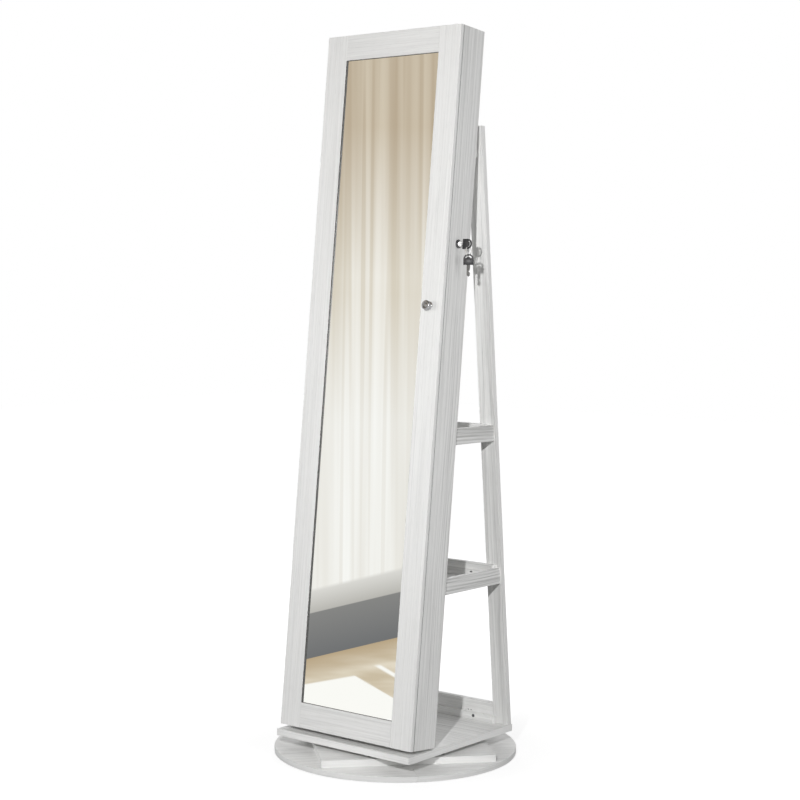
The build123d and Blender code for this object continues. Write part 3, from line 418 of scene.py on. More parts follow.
# Painted highlight along every edge, lighter in patches: its strength, its width in edge bands and its colour
EDGE_HIGHLIGHT, EDGE_HIGHLIGHT_WIDTH, EDGE_HIGHLIGHT_COLOUR = 0.5, 1.1, (0.9, 0.9, 0.89)
PRINTED_ROUGH, FIBRE_ROUGH, PORES_ROUGH = 0.4, 0.1, 0.12
PORES_HIGH, LINE_HIGH, GLUE_HIGH = -0.7, -0.3, -1.2  # shares of the relief
# Painted shade on the mirror's lip: its width from the side of the board that borders the opening
LIP_WIDTH = (0.2 * MM, 0.1 * MM)    # from the side of the board that borders the opening
# Painted shade in the seam round the door, on the side panel's face near its front edge: where it starts, where it
# ends and how dark it is
SEAM_NEAR, SEAM_FAR, SEAM_DEPTH = (0.02 * MM, 0.06 * MM), (1.1 * MM, 0.8 * MM), 0.7
# Painted shade on the walls of holes: from this depth under the surface
HOLE_SHADE_BELOW = (1.6 * MM, 1.8 * MM)   # under the surface


def frame_box(node, rotation):
    """A CAD node's lowest and highest corners after a rotation."""
    points = [rotation @ point for point in vertices(node)]
    low = Vector([min(point[i] for point in points) for i in range(3)])
    high = Vector([max(point[i] for point in points) for i in range(3)])
    return low, high


def growth_lines(g, source, own, ring_width):
    """The growth lines: distance from the tree's heart, which lies beside the board and nearly
    parallel to it."""
    bends = {}
    for name, (scale, detail, roughness, squeeze, amount) in GROWTH_BENDS.items():
        bends[name] = g.times(g.noise(own, scale, detail, roughness, (1, 1, squeeze)), amount)
    x, y, z = g.parts(source["Place"])
    heart = g.times_plus(g.maths("SINE", g.times(source["Seed"], SEED_TURN)), HEART_SWAY, HEART_ASIDE)
    across = g.plus(g.minus(g.plus(x, y), heart), bends["warp"])
    along = g.times(g.minus(z, bends["wander"]), source["Arch"])
    radius = g.vector("LENGTH", g.join(across, HEART_DEPTH, along), output="Value")
    rings = g.plus(g.maths("DIVIDE", radius, ring_width), bends["ripple"], bends["crowding"])
    late = g.maths("FRACT", rings)
    return g.times(g.ramp(late, *LATE_WOOD), g.ramp(late, *LATE_END))


def painted_shade_places(g, source, inside):
    """Where the shadow gap's colour shows as painted shade: on the mirror's lip, in the seam round the door and on
    the walls of holes deeper than the laminate.
    """
    x, y = g.parts(source["Place"])[:2]
    # painted shade on the lip that borders the mirror's opening
    lip = source["Lip"]
    width = g.parts(source["Size"])[0]
    above = g.times(g.ramp(g.minus(width, x), *LIP_WIDTH), lip)
    below = g.times(g.ramp(x, *LIP_WIDTH), lip, -1.0)
    lip = g.maths("MAXIMUM", above, below, clamp=True)
    # painted shade in the seam round the door
    seam = g.times(g.ramp(y, *SEAM_NEAR), g.ramp(y, *SEAM_FAR), source["Seam"], SEAM_DEPTH)
    # painted shade on the walls of holes, deeper than the laminate
    core = g.times(g.ramp(g.least(*inside), *HOLE_SHADE_BELOW), source["Core"])
    return g.most(lip, seam, core)


def figure_group():
    """The oak figure in a board's own frame: growth lines, fibres, pores, a painted edge highlight and painted
    shade.
    """
    settings = bpy.context.scene.mirror_laminate
    tree = bpy.data.node_groups.new("oak_figure", "ShaderNodeTree")
    open_sockets(tree, "INPUT", {"Place": "Vector", "Size": "Vector", "Facing": "Vector", "Thin": "Vector",
                                 "Seed": "Float", "Liveliness": "Float", "Arch": "Float", "Lip": "Float",
                                 "Seam": "Float", "Core": "Float"})
    open_sockets(tree, "OUTPUT", {"Colour": "Color", "Roughness": "Float", "Height": "Float"})
    g = Graph(tree)
    source = tree.nodes.new("NodeGroupInput").outputs
    place, seed, lively = source["Place"], source["Seed"], source["Liveliness"]
    shift = g.join(seed, *[g.times(seed, share) for share in SEED_SHIFT])
    own = g.vector("ADD", place, shift)

    # on the banded edges the lines run round the board
    squeezed = g.vector("MULTIPLY", own, g.vector("ADD", source["Thin"], BAND_SQUEEZE))
    layers = {}
    for name, (scale, detail, roughness, squeeze, low, high) in FIGURE_LAYERS.items():
        vector = squeezed if name == "band" else own
        layers[name] = g.ramp(g.noise(vector, scale, detail, roughness, (1, 1, squeeze)), low, high)
    fibre, pores = layers["fibre"], layers["pores"]
    line = g.times(growth_lines(g, source, own, settings.ring_width), layers["fade"], lively)

    tone = g.times_plus(line, DEEP_LINE, g.times(layers["streak"], lively, DEEP_STREAK))
    tone = g.times_plus(fibre, g.times_plus(lively, LIVELY_FIBRE, DEEP_FIBRE), tone)
    tone = g.times_plus(layers["broad"], DEEP_BROAD, tone)
    tone = g.times_plus(pores, DEEP_PORES, tone, clamp=True)
    facing = g.vector("DOT_PRODUCT", source["Facing"], source["Thin"], output="Value")
    facing = g.maths("ABSOLUTE", facing)
    banded = g.times_plus(layers["band"], BAND_LINES, BAND_GROUND)
    tone = g.plus(tone, g.times(g.ramp(facing, *ON_BAND), g.minus(banded, tone)))
    colour = g.mix(tone, settings.pale, settings.grain)

    # distance along the surface to the board's nearest edge
    far = g.vector("SUBTRACT", source["Size"], place)
    inside = g.parts(g.vector("MINIMUM", place, far))
    edge = g.minus(g.plus(*inside), g.least(*inside), g.most(*inside))
    band = settings.edge_band
    glue = g.times(g.ramp(edge, *scaled(GLUE_START, band)), g.ramp(edge, *scaled(GLUE_END, band)))
    colour = g.mix(g.times(glue, GLUE_LINE), colour, scaled(settings.grain, GLUE_SHADE))
    # painted highlight along the edges, in patches
    edge_highlight = g.times(g.ramp(edge, band * EDGE_HIGHLIGHT_WIDTH, 0.0), layers["wear"], EDGE_HIGHLIGHT)
    colour = g.mix(edge_highlight, colour, EDGE_HIGHLIGHT_COLOUR)
    # painted shade: the lip, the seam and the holes' walls take the shadow gap's colour
    colour = g.mix(painted_shade_places(g, source, inside), colour, settings.shadow_gap)

    rough = g.times_plus(pores, PORES_ROUGH, g.times_plus(fibre, FIBRE_ROUGH, PRINTED_ROUGH))
    height = g.times_plus(pores, PORES_HIGH, g.times(line, LINE_HIGH))
    height = g.times_plus(glue, GLUE_HIGH, height)
    g.node("NodeGroupOutput", {"Colour": colour, "Roughness": rough, "Height": height})
    return tree


def thin_direction(node, looks):
    """The direction across a board's thickness, in the frame of its grain."""
    low, high = frame_box(node, looks["stand"])
    spans = list(high - low)
    axis = "xyz".index(looks["thin"]) if looks["thin"] else spans.index(min(spans))
    across = GRAIN_TO_Z[looks["grain"]] @ LEVEL[axis]
    return [abs(round(value)) for value in across]


def laminate(node, group, looks, seed):
    """One board's laminate: the figure runs along the board and starts at its corner."""
    settings = bpy.context.scene.mirror_laminate
    rotation = GRAIN_TO_Z[looks["grain"]] @ looks["stand"]
    low, high = frame_box(node, rotation)
    material, g, shader = new_material(f"oak_{node}")
    inputs = {"Vector": g.coordinates("Normal"), "Rotation": rotation.to_euler("XYZ")}
    facing = g.node("ShaderNodeMapping", inputs, vector_type="VECTOR").outputs[0]
    inputs = {"Place": g.own_frame(rotation, low), "Size": high - low, "Seed": seed,
              "Liveliness": looks["lively"], "Facing": facing, "Thin": thin_direction(node, looks)}
    for key in ("arch", "lip", "seam", "core"):
        inputs[key.capitalize()] = looks[key]
    figure = g.node("ShaderNodeGroup", inputs, node_tree=group).outputs
    g.surface(shader, figure["Colour"], figure["Roughness"], figure["Height"], settings.relief)
    return material


def wear(obj, material):
    """Puts one material in every slot of an object."""
    if not obj.data.materials:
        obj.data.materials.append(material)
    for index in range(len(obj.data.materials)):
        obj.data.materials[index] = material


# ---- other materials
MILLED_STEEL = (0.13, 0.128, 0.125)
BEARING_STEEL = (0.66, 0.66, 0.67)
ALUMINIUM = (0.62, 0.63, 0.64)
MOULDED_BLACK = (0.018, 0.018, 0.02)
BLACK_ACRYLIC = (0.02, 0.02, 0.022)
NATURAL_NYLON = (0.62, 0.6, 0.53)
FOAM_RUBBER = (0.11, 0.11, 0.115)
SILVERED = ((0.945, 0.955, 0.945), (0.965, 0.965, 0.955))
HARDBOARD = ((0.24, 0.15, 0.085), (0.36, 0.25, 0.15))
HARDBOARD_FLECKS = (0.45, 0.34, 0.22)


def metal(name, colour, roughness, scratch, brushed=0.0):
    """A bare or plated metal with fine handling marks."""
    material, g, shader = new_material(name)
    place = g.coordinates()
    shader.inputs["Metallic"].default_value = 1.0
    smudge = g.ramp(g.noise(place, 60.0, 3.0, 0.6), 0.35, 0.7)
    grain = g.noise(place, 900.0, 2.0, 0.6, (1, 1, 0.08 if brushed else 1))
    tone = g.mix(g.ramp(grain, 0.3, 0.7), scaled(colour, 0.93), colour)
    rough = g.times_plus(grain, brushed, g.times_plus(smudge, scratch, roughness))
    g.surface(shader, tone, rough, grain, 0.01 * MM, 0.3)
    return material


def plastic(name, colour, roughness, texture):
    """Moulded plastic with a fine spark texture."""
    material, g, shader = new_material(name)
    place = g.coordinates()
    grain = g.noise(place, 2600.0, 2.0, 0.6)
    patch = g.ramp(g.noise(place, 120.0), 0.3, 0.7)
    tone = g.mix(patch, colour, scaled(colour, 1.35))
    g.surface(shader, tone, g.times_plus(grain, 0.15, roughness), grain, texture)
    return material


def mirror_glass():
    """Silvered glass with a faint haze."""
    material, g, shader = new_material("silvered_glass")
    place = g.own_frame(ON_SLOPE, frame_box("mirror_glass", ON_SLOPE)[0])
    shader.inputs["Metallic"].default_value = 1.0
    tint = g.mix(g.noise(place, 2.5, 2.0, 0.5, (1, 1, 0.4)), *SILVERED)
    haze = g.noise(place, 9.0, 3.0, 0.6, (1, 1, 0.5))
    g.surface(shader, tint, g.ramp(haze, 0.45, 0.8, 0.004, 0.03))
    return material


def velvet(name, colour):
    """Short-pile velvet: brushed patches and a soft sheen."""
    material, g, shader = new_material(name)
    place = g.coordinates()
    brushed = g.ramp(g.noise(place, 45.0, 3.0, 0.6), 0.35, 0.7)
    pile = g.noise(place, 1800.0, 2.0, 0.7)
    tone = g.mix(brushed, colour, scaled(colour, 1.9))
    tone = g.mix(g.ramp(pile, 0.3, 0.8), tone, scaled(colour, 0.5))
    shader.inputs["Sheen Weight"].default_value = 0.5
    shader.inputs["Sheen Roughness"].default_value = 0.4
    g.surface(shader, tone, g.times_plus(pile, 0.15, 0.8), pile, 0.25 * MM)
    return material


def hardboard():
    """Raw brown hardboard behind the glass."""
    material, g, shader = new_material("raw_hardboard")
    place = g.coordinates()
    chips = g.noise(place, 700.0, 4.0, 0.7)
    flecks = g.noise(place, 160.0, 2.0, 0.6, (1, 1, 0.4))
    tone = g.mix(g.ramp(chips, 0.3, 0.75), *HARDBOARD)
    tone = g.mix(g.ramp(flecks, 0.62, 0.72), tone, HARDBOARD_FLECKS)
    g.surface(shader, tone, g.ramp(chips, 0.2, 0.8, 0.55, 0.8), chips, 0.08 * MM)
    return material


# ---- mesh helpers
WELD = 0.002 * MM
FLAT = math.radians(0.5)
BODY_OF = {node: body for body, nodes in frame["record"]["behaviour"]["bodies"].items() for node in nodes}


def in_scene(name, data):
    """A new object in the scene, at the origin."""
    obj = bpy.data.objects.new(name, data)
    bpy.context.scene.collection.objects.link(obj)
    return obj


def stand_in(node, suffix, mesh, material):
    """Shows a piece in place of a CAD node, on the node's body and in the given material."""
    piece = in_scene(f"{node}_{suffix}", mesh)
    wear(piece, material)
    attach(piece, BODY_OF[node])
    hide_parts(node)
    return piece


def merged_copy(node):
    """A CAD node's mesh with its loose triangles welded together."""
    bm = bmesh.new()
    bm.from_mesh(frame["nodes"][node].data)
    bmesh.ops.remove_doubles(bm, verts=bm.verts, dist=WELD)
    return bm


def islands(bm):
    """The separate solids of a welded mesh, as lists of points."""
    left = dict.fromkeys(bm.verts)      # keeps an order, so that each run finds the same
    while left:
        stack = [left.popitem()[0]]
        points = []
        while stack:
            vertex = stack.pop()
            points.append(vertex.co.copy())
            for edge in vertex.link_edges:
                other = edge.other_vert(vertex)
                if other in left:
                    del left[other]
                    stack.append(other)
        yield points


def shade_by_angle(bm, degrees):
    """Smooth faces, with sharp edges where they meet at more than an angle."""
    for face in bm.faces:
        face.smooth = True
    for edge in bm.edges:
        edge.smooth = len(edge.link_faces) == 2 and edge.calc_face_angle(0.0) < math.radians(degrees)


def to_mesh(bm, name):
    """A mesh from a finished bmesh."""
    mesh = bpy.data.meshes.new(name)
    bm.to_mesh(mesh)
    bm.free()
    return mesh


def spokes(sides):
    """The directions of the corners round a turned piece."""
    turns = [2 * math.pi * side / sides for side in range(sides)]
    return [(math.cos(turn), math.sin(turn)) for turn in turns]


def lofted(rows, name, degrees, crossed=0):
    """A closed mesh through rows of points, which may begin and end in a single point. The four-sided
    faces of the first bands, as many as are crossed, fold along their other diagonal."""
    bm = bmesh.new()
    rings = [[bm.verts.new(point) for point in row] for row in rows]
    for band, (first, second) in enumerate(zip(rings, rings[1:])):
        count = max(len(first), len(second))
        turn = int(band < crossed)
        for step in range(count):
            after = (step + 1) % count
            corners = [first[step % len(first)], first[after % len(first)],
                       second[after % len(second)], second[step % len(second)]]
            bm.faces.new(list(dict.fromkeys(corners[turn:] + corners[:turn])))
    for end in (rings[0], rings[-1]):
        if len(end) > 1:
            bm.faces.new(end)
    bmesh.ops.recalc_face_normals(bm, faces=bm.faces)
    shade_by_angle(bm, degrees)
    return to_mesh(bm, name)


def rounded_node(node, suffix, material, degrees=35.0, flattened=True):
    """A CAD node shown as a welded copy with smooth curved faces."""
    bm = merged_copy(node)
    if flattened:
        bmesh.ops.dissolve_limit(bm, angle_limit=FLAT, verts=bm.verts, edges=bm.edges)
    shade_by_angle(bm, degrees)
    stand_in(node, suffix, to_mesh(bm, node), material)


# Shares of the knob's radius and of its reach, from the middle of its face to its foot.
KNOB_PROFILE = (
    (0.0, 0.975), (0.14, 0.97), (0.26, 0.95), (0.34, 0.915), (0.38, 0.86), (0.42, 0.835), (0.48, 0.83),
    (0.53, 0.85), (0.57, 0.92), (0.61, 0.975), (0.66, 1.0), (0.74, 0.995), (0.83, 0.97), (0.91, 0.925),
    (0.97, 0.86), (1.0, 0.77), (0.99, 0.69), (0.94, 0.62), (0.85, 0.565), (0.72, 0.53), (0.6, 0.49),
    (0.53, 0.42), (0.5, 0.33), (0.52, 0.24), (0.58, 0.17), (0.66, 0.13), (0.74, 0.11), (0.79, 0.08),
    (0.8, 0.0), (0.22, 0.0), (0.22, 0.6), (0.0, 0.6),
)
KNOB_SIDES = 72


def turned_knob(material):
    """The knob as a turned piece: domed middle, groove, rolled rim, waist and foot."""
    low, high = frame_box("door_knob", ON_SLOPE)
    radius = (high.x - low.x) / 2
    middle = Vector(((low.x + high.x) / 2, high.y, (low.z + high.z) / 2))
    upright = ON_SLOPE.transposed()
    rows = []
    for share, rise in KNOB_PROFILE:
        y = rise * (low.y - high.y)
        ring = spokes(KNOB_SIDES) if share else [(0, 0)]
        rows.append([upright @ (middle + Vector((x * share * radius, y, z * share * radius)))
                     for x, z in ring])
    stand_in("door_knob", "turned", lofted(rows, "door_knob", 40), material)


# ---- fasteners
AXIS_ROUNDS = 12                # of the power iteration that finds a screw's axis
HEAD_EDGE = 0.97                # share of the largest radius past which a point is on the head's rim
SCREW_SIDES = 16
ROWS_A_TURN, LEAST_ROWS = 3, 4
SUNK_BELOW = 0.3 * MM           # a head that stands out less is a sunk one
TIP = 0.15                      # the point's radius, as a share of the shank's
RIM_HEIGHT = 0.4                # of the head's height, below its dome
DOME_ROWS = 6
CROSS_REACH, CROSS_ARM, CROSS_DEPTH = 0.55, 0.16, 0.4   # shares of the head's radius


def screw_measures(points):
    """Where a screw of a node sits: seat, direction out of its head, and its sizes."""
    middle = sum(points, Vector()) / len(points)
    far = max(points, key=lambda point: (point - middle).length)
    other = max(points, key=lambda point: (point - far).length)
    axis = (far - other).normalized()
    steps = [point - middle for point in points]
    for _ in range(AXIS_ROUNDS):
        axis = sum((step * step.dot(axis) for step in steps), Vector()).normalized()
    along = [step.dot(axis) for step in steps]
    away = [(step - axis * t).length for step, t in zip(steps, along)]
    wide = [t for t, r in zip(along, away) if r > HEAD_EDGE * max(away)]
    if sum(wide) / len(wide) < (max(along) + min(along)) / 2:
        axis = -axis
        along = [-t for t in along]
        wide = [-t for t in wide]
    seat = min(wide)
    return {
        "seat": middle + axis * seat,
        "out": axis,
        "head": max(away),
        "head_height": max(along) - seat,
        "radius": max(r for t, r in zip(along, away) if t < seat - 2 * MM),
        "length": seat - min(along),
    }


def screw_mesh(size, name):
    """A wood screw along -Z from its seat: helical thread, domed or sunk head and a cross recess."""
    settings = bpy.context.scene.mirror_metal
    head, shank, length = size["head"], size["radius"], size["length"]
    sunk = size["head_height"] < SUNK_BELOW
    height = 0.0 if sunk else size["head_height"]
    cone = head - shank if sunk else 0.0
    pitch = settings.thread_pitch
    count = max(LEAST_ROWS, int(length / pitch * ROWS_A_TURN))
    rows = []
    for row in range(count, -1, -1):
        depth = length * row / count
        taper = min(1.0, (length - depth) / (2.0 * shank) + TIP)
        ring = []
        for side, (x, y) in enumerate(spokes(SCREW_SIDES)):
            turn = (depth / pitch + side / SCREW_SIDES) % 1.0
            radius = shank * taper * (1.0 - settings.thread_depth * abs(2 * turn - 1))
            if depth < cone:
                radius = head - depth
            ring.append((radius * x, radius * y, -depth))
        rows.append(ring)
    if not sunk:
        for rise in (0.0, RIM_HEIGHT):
            rows.append([(head * x, head * y, height * rise) for x, y in spokes(SCREW_SIDES)])
    for step in range(1, DOME_ROWS):
        share = 1.0 - step / DOME_ROWS
        dome = height * (RIM_HEIGHT + (1 - RIM_HEIGHT) * math.sqrt(1 - share * share))
        ring = []
        for across, up in spokes(SCREW_SIDES):
            x, y = head * share * across, head * share * up
            in_arm = min(abs(x), abs(y)) < CROSS_ARM * head and share < CROSS_REACH
            ring.append((x, y, dome - (CROSS_DEPTH * head if in_arm else 0.0)))
        rows.append(ring)
    rows.append([(0, 0, height - CROSS_DEPTH * head)])
    return lofted(rows, name, 40, crossed=count)


def fastener_tree():
    """Geometry nodes that set a screw on each point, turned at random about its own axis."""
    tree = bpy.data.node_groups.new("fasteners", "GeometryNodeTree")
    open_sockets(tree, "INPUT", {"Points": "Geometry", "Screw": "Object", "Finish": "Material",
                                 "Size": "Float", "Seed": "Int"})
    open_sockets(tree, "OUTPUT", {"Screws": "Geometry"})
    g = Graph(tree)
    source = tree.nodes.new("NodeGroupInput").outputs
    out = g.node("GeometryNodeInputNamedAttribute", {"Name": "out"}, data_type="FLOAT_VECTOR")
    aligned = g.node("FunctionNodeAlignRotationToVector", {"Vector": out.outputs["Attribute"]}, axis="Z")
    turn = g.node("FunctionNodeRandomValue", {"Seed": source["Seed"], 3: 2 * math.pi}, data_type="FLOAT")
    spin = g.node("FunctionNodeEulerToRotation", {0: g.join(0, 0, turn.outputs[1])})
    inputs = {"Rotation": aligned.outputs[0], "Rotate By": spin.outputs[0]}
    rotation = g.node("FunctionNodeRotateRotation", inputs, rotation_space="LOCAL").outputs[0]
    shape = g.node("GeometryNodeObjectInfo", {"Object": source["Screw"]}).outputs["Geometry"]
    size = g.join(*[source["Size"]] * 3)
    inputs = {"Points": source["Points"], "Instance": shape, "Rotation": rotation, "Scale": size}
    placed = g.node("GeometryNodeInstanceOnPoints", inputs)
    real = g.node("GeometryNodeRealizeInstances", {"Geometry": placed.outputs[0]})
    inputs = {"Geometry": real.outputs[0], "Material": source["Finish"]}
    finished = g.node("GeometryNodeSetMaterial", inputs)
    g.node("NodeGroupOutput", {"Screws": finished.outputs[0]})
    return tree


def grown(points_mesh, tree, values, name):
    """The mesh that a geometry tree makes from a carrier mesh."""
    carrier = in_scene(name, points_mesh)
    modifier = carrier.modifiers.new(name, "NODES")
    modifier.node_group = tree
    for item in tree.interface.items_tree:
        if item.name in values:
            modifier[item.identifier] = values[item.name]
    bpy.context.view_layer.update()
    evaluated = carrier.evaluated_get(bpy.context.evaluated_depsgraph_get())
    mesh = bpy.data.meshes.new_from_object(evaluated)
    carrier.modifiers.remove(modifier)
    bpy.data.objects.remove(carrier)
    return mesh


def threaded_screws(node, tree, material, seed):
    """A node's plain screws, shown with thread and cross recess."""
    bm = merged_copy(node)
    kinds = {}
    for points in islands(bm):
        size = screw_measures(points)
        key = (round(size["length"] / MM, 1), round(size["head"] / MM, 1))
        kinds.setdefault(key, []).append(size)
    bm.free()
    joined = bmesh.new()
    for index, sizes in enumerate(kinds.values()):
        pattern = in_scene(f"{node}_pattern", screw_mesh(sizes[0], node))
        points = bpy.data.meshes.new(f"{node}_seats")
        points.from_pydata([size["seat"] for size in sizes], [], [])
        out = points.attributes.new("out", "FLOAT_VECTOR", "POINT")
        for place, size in enumerate(sizes):
            out.data[place].vector = size["out"]
        values = {"Screw": pattern, "Finish": material, "Size": 1.0, "Seed": seed + index}
        joined.from_mesh(grown(points, tree, values, f"{node}_carrier"))
        bpy.data.objects.remove(pattern)
    stand_in(node, "threaded", to_mesh(joined, f"{node}_threaded"), material)


# ---- the ring cushion
CUSHION_COLUMNS = 60            # of points along the rolls
ROLL_STEPS = 14                 # of points over each roll
CUSHION_FOOT = 2 * MM           # the eased edge at its foot
PINCH_REACH = 1.4               # columns
PINCH_ASIDE = 0.2               # how much of the pinch also draws the rolls together
CREASE_DEPTH = 0.25 * MM
CREASES_ALONG, CREASES_ACROSS = 37, 5


def cushion_outline(low, high, rolls):
    """The cushion's section in Y and Z: a row of half rounds over a block."""
    roll = (high.y - low.y) / rolls / 2
    crest = high.z - roll
    outline = []
    for index in range(rolls):
        middle = low.y + roll * (2 * index + 1)
        for step in range(ROLL_STEPS):
            angle = math.pi * (1 - step / ROLL_STEPS)
            outline.append((middle + roll * math.cos(angle), crest + roll * math.sin(angle)))
    foot = CUSHION_FOOT
    outline.extend([(high.y, crest), (high.y, low.z + foot), (high.y - foot, low.z),
                    (low.y + foot, low.z), (low.y, low.z + foot)])
    return outline


def cushion_mesh(settings):
    """The rolls from end to end, drawn in where they are sewn and lightly creased."""
    low, high = frame_box("ring_cushion", ON_SLOPE)
    upright = ON_SLOPE.transposed()
    roll = (high.y - low.y) / settings.rolls / 2
    middle = (low.y + high.y) / 2
    rows = []
    for column in range(CUSHION_COLUMNS + 1):
        share = column / CUSHION_COLUMNS
        x = low.x + (high.x - low.x) * share
        near_end = min(share, 1 - share) * CUSHION_COLUMNS
        draw = settings.pinch * math.exp(-near_end / PINCH_REACH)
        row = []
        for y, z in cushion_outline(low, high, settings.rolls):
            rise = (z - low.z) / (high.z - low.z)
            crease = abs(CREASE_DEPTH * math.sin(CREASES_ALONG * share + CREASES_ACROSS * y / roll) * rise)
            place = Vector((x, y + (middle - y) * draw / roll * PINCH_ASIDE, z - draw * rise - crease))
            row.append(upright @ place)
        rows.append(row)
    return lofted(rows, "ring_cushion_rolls", 60)


# ---- the stage
SOFT_LAMPS = {                  # where each soft lamp stands, and the setting that holds its power
    "front_left": ((-1.6, -2.2, 1.2), "fill_power"),
    "right": ((2.5, 0.15, 1.1), "side_power"),
    "behind": ((-1.6, 2.2, 1.2), "back_power"),
    "overhead": ((-0.2, 0.9, 3.3), "top_power"),
}
SENSOR_WIDTH = 36.0
SEEN_IN_GLOSS = 0.88            # how white the studio looks in polished metal
FLOOR_HALF = 9.0
FLOOR_NEAR, FLOOR_FAR = (0.3, 0.82), (0.75, 1.0)    # distance from the axis, and the floor's glow there
CARD_HALF = 1.3
CARD_ABOVE = 0.9                # how far it hangs above the object's top
CARD_TONE = (0.03, 0.03, 0.03)

# The reflected room is laid out on an upright plane: metres to the right and up.
ROOM_LEFT, ROOM_RIGHT, ROOM_FOOT, ROOM_TOP = -0.75, 2.2, -0.16, 2.3
# The curtain's colours with painted light and shade: each pair darker in the folds and lighter on them
CURTAIN_HIGH = ((0.50, 0.41, 0.30), (0.66, 0.58, 0.46))     # in the folds and on them
CURTAIN_MIDDLE = ((0.68, 0.62, 0.51), (0.92, 0.90, 0.85))
CURTAIN_LOW = ((0.83, 0.81, 0.76), (0.97, 0.97, 0.945))
HIGH_TO_MIDDLE, MIDDLE_TO_LOW = (1.45, 1.05), (1.0, 0.65)   # heights
BENCH_SLANT, BENCH_MIDDLE = -0.25, 0.13
BENCH_FOOT, BENCH_EDGE, BENCH_BACK = 0.033, 0.157, 0.22     # heights up the slant
FOOT_SOFT, EDGE_SOFT, BACK_SOFT = 0.0005, 0.001, 0.005      # half the width of their blurs
BENCH_FRONT = ((0.17, 0.175, 0.18), (0.25, 0.25, 0.245))    # from low to high
BENCH_TOP = ((0.50, 0.49, 0.46), (0.72, 0.71, 0.68))
FRONT_RISE, TOP_RISE, SHADE_RISE = (0.03, 0.157), (0.157, 0.215), (0.032, -0.03)
PLANKS = ((0.62, 0.53, 0.39), (0.80, 0.73, 0.60))
PLANKS_IN_SHADE = (0.50, 0.39, 0.25)
SUNLIT = (1.0, 0.995, 0.96)
SUN_SLANTS = {"down": 0.58, "over": -0.185}
SUN_PATCHES = (                 # the soft sides of each patch of sun, along one of the slants
    (("down", -0.104, -0.108), ("over", -0.017, -0.022)),
    (("down", -0.050, -0.044), ("down", -0.033, -0.038), ("over", 0.002, -0.006)),
    (("down", 0.012, 0.018), ("over", 0.014, 0.010)),
)


def seen_rays(g):
    """One for camera and transmission rays, a little less for glossy rays and nothing for the rest."""
    path = g.node("ShaderNodeLightPath").outputs
    gloss = g.times(path["Is Glossy Ray"], SEEN_IN_GLOSS)
    return g.most(path["Is Camera Ray"], path["Is Transmission Ray"], gloss)


def level_axes(heading):
    """Ahead and to the right on the level, for a look turned from straight at the front."""
    ahead = Vector((-math.sin(heading), math.cos(heading), 0))
    return ahead, Vector((ahead.y, -ahead.x, 0))


def stage_sheet(name, points, material):
    """A flat four-cornered object of the stage."""
    mesh = bpy.data.meshes.new(name)
    mesh.from_pydata(points, [], [(0, 1, 2, 3)])
    obj = in_scene(name, mesh)
    wear(obj, material)
    return obj


def level_square(half, height):
    """The corners of a level square round the axis."""
    return [(-half, -half, height), (half, -half, height), (half, half, height), (-half, half, height)]


def only_in_reflections(obj):
    """Hides a stage object from everything but glossy rays."""
    for ray in ("camera", "diffuse", "shadow", "transmission"):
        setattr(obj, f"visible_{ray}", False)


def curtain_colour(g, uv, height):
    """Cloth with painted light and shade: brown high up, pale and sunlit low down, darker in its folds and
    creases.
    """
    broad = g.ramp(g.noise(uv, 17.0, 1.0, 0.4, (1, 0.03, 1)), 0.36, 0.64)
    fine = g.ramp(g.noise(uv, 55.0, 1.0, 0.5, (1, 0.02, 1)), 0.35, 0.65)
    crease = g.ramp(g.noise(uv, 62.0, 0.0, 0.5, (1, 0.008, 1)), 0.66, 0.58)
    folds = g.times_plus(fine, 0.3, g.times(broad, 0.7))
    folds = g.times(folds, g.times_plus(crease, 0.6, 0.4))
    high, middle, low = [g.mix(folds, *pair) for pair in (CURTAIN_HIGH, CURTAIN_MIDDLE, CURTAIN_LOW)]
    cloth = g.mix(g.ramp(height, *HIGH_TO_MIDDLE), high, middle)
    return g.mix(g.ramp(height, *MIDDLE_TO_LOW), cloth, low)


def ground_colour(g, uv, slanted):
    """Planks with patches of sun, in shade under the bench."""
    right, height = g.parts(uv)[:2]
    slants = {way: g.times_plus(right, slope, height) for way, slope in SUN_SLANTS.items()}
    patches = []
    for sides in SUN_PATCHES:
        patches.append(g.times(*[g.ramp(slants[way], low, high) for way, low, high in sides]))
    grain = g.ramp(g.noise(uv, 30.0, 2.0, 0.5, (0.15, 1, 1)), 0.35, 0.65)
    planks = g.mix(grain, *PLANKS)
    planks = g.mix(g.ramp(slanted, *SHADE_RISE), PLANKS_IN_SHADE, planks)
    return g.mix(g.most(*patches), planks, SUNLIT)


def room_colour(g):
    """What the glass reflects: a curtain, a low bench before it and a sunny floor."""
    uv = g.coordinates("UV")
    right, height = g.parts(uv)[:2]
    slanted = g.times_plus(g.plus(right, BENCH_MIDDLE), BENCH_SLANT, height)
    lines = ((BENCH_FOOT, FOOT_SOFT), (BENCH_EDGE, EDGE_SOFT), (BENCH_BACK, BACK_SOFT))
    foot, edge, back = [g.ramp(slanted, line - soft, line + soft) for line, soft in lines]
    front = g.mix(g.ramp(slanted, *FRONT_RISE), *BENCH_FRONT)
    top = g.mix(g.ramp(slanted, *TOP_RISE), *BENCH_TOP)
    colour = g.mix(foot, ground_colour(g, uv, slanted), g.mix(edge, front, top))
    return g.mix(back, colour, curtain_colour(g, uv, height))


# ---- operators
class MIRROR_OT_boards(bpy.types.Operator):
    """Give every board its own run of white oak-look laminate"""

    bl_idname = "mirror.boards"
    bl_label = "Finish the boards"

    def execute(self, context):
        group = figure_group()
        for index, (node, looks) in enumerate(BOARDS.items()):
            wear(frame["nodes"][node], laminate(node, group, looks, FIRST_SEED + SEED_STEP * index))
        return {"FINISHED"}


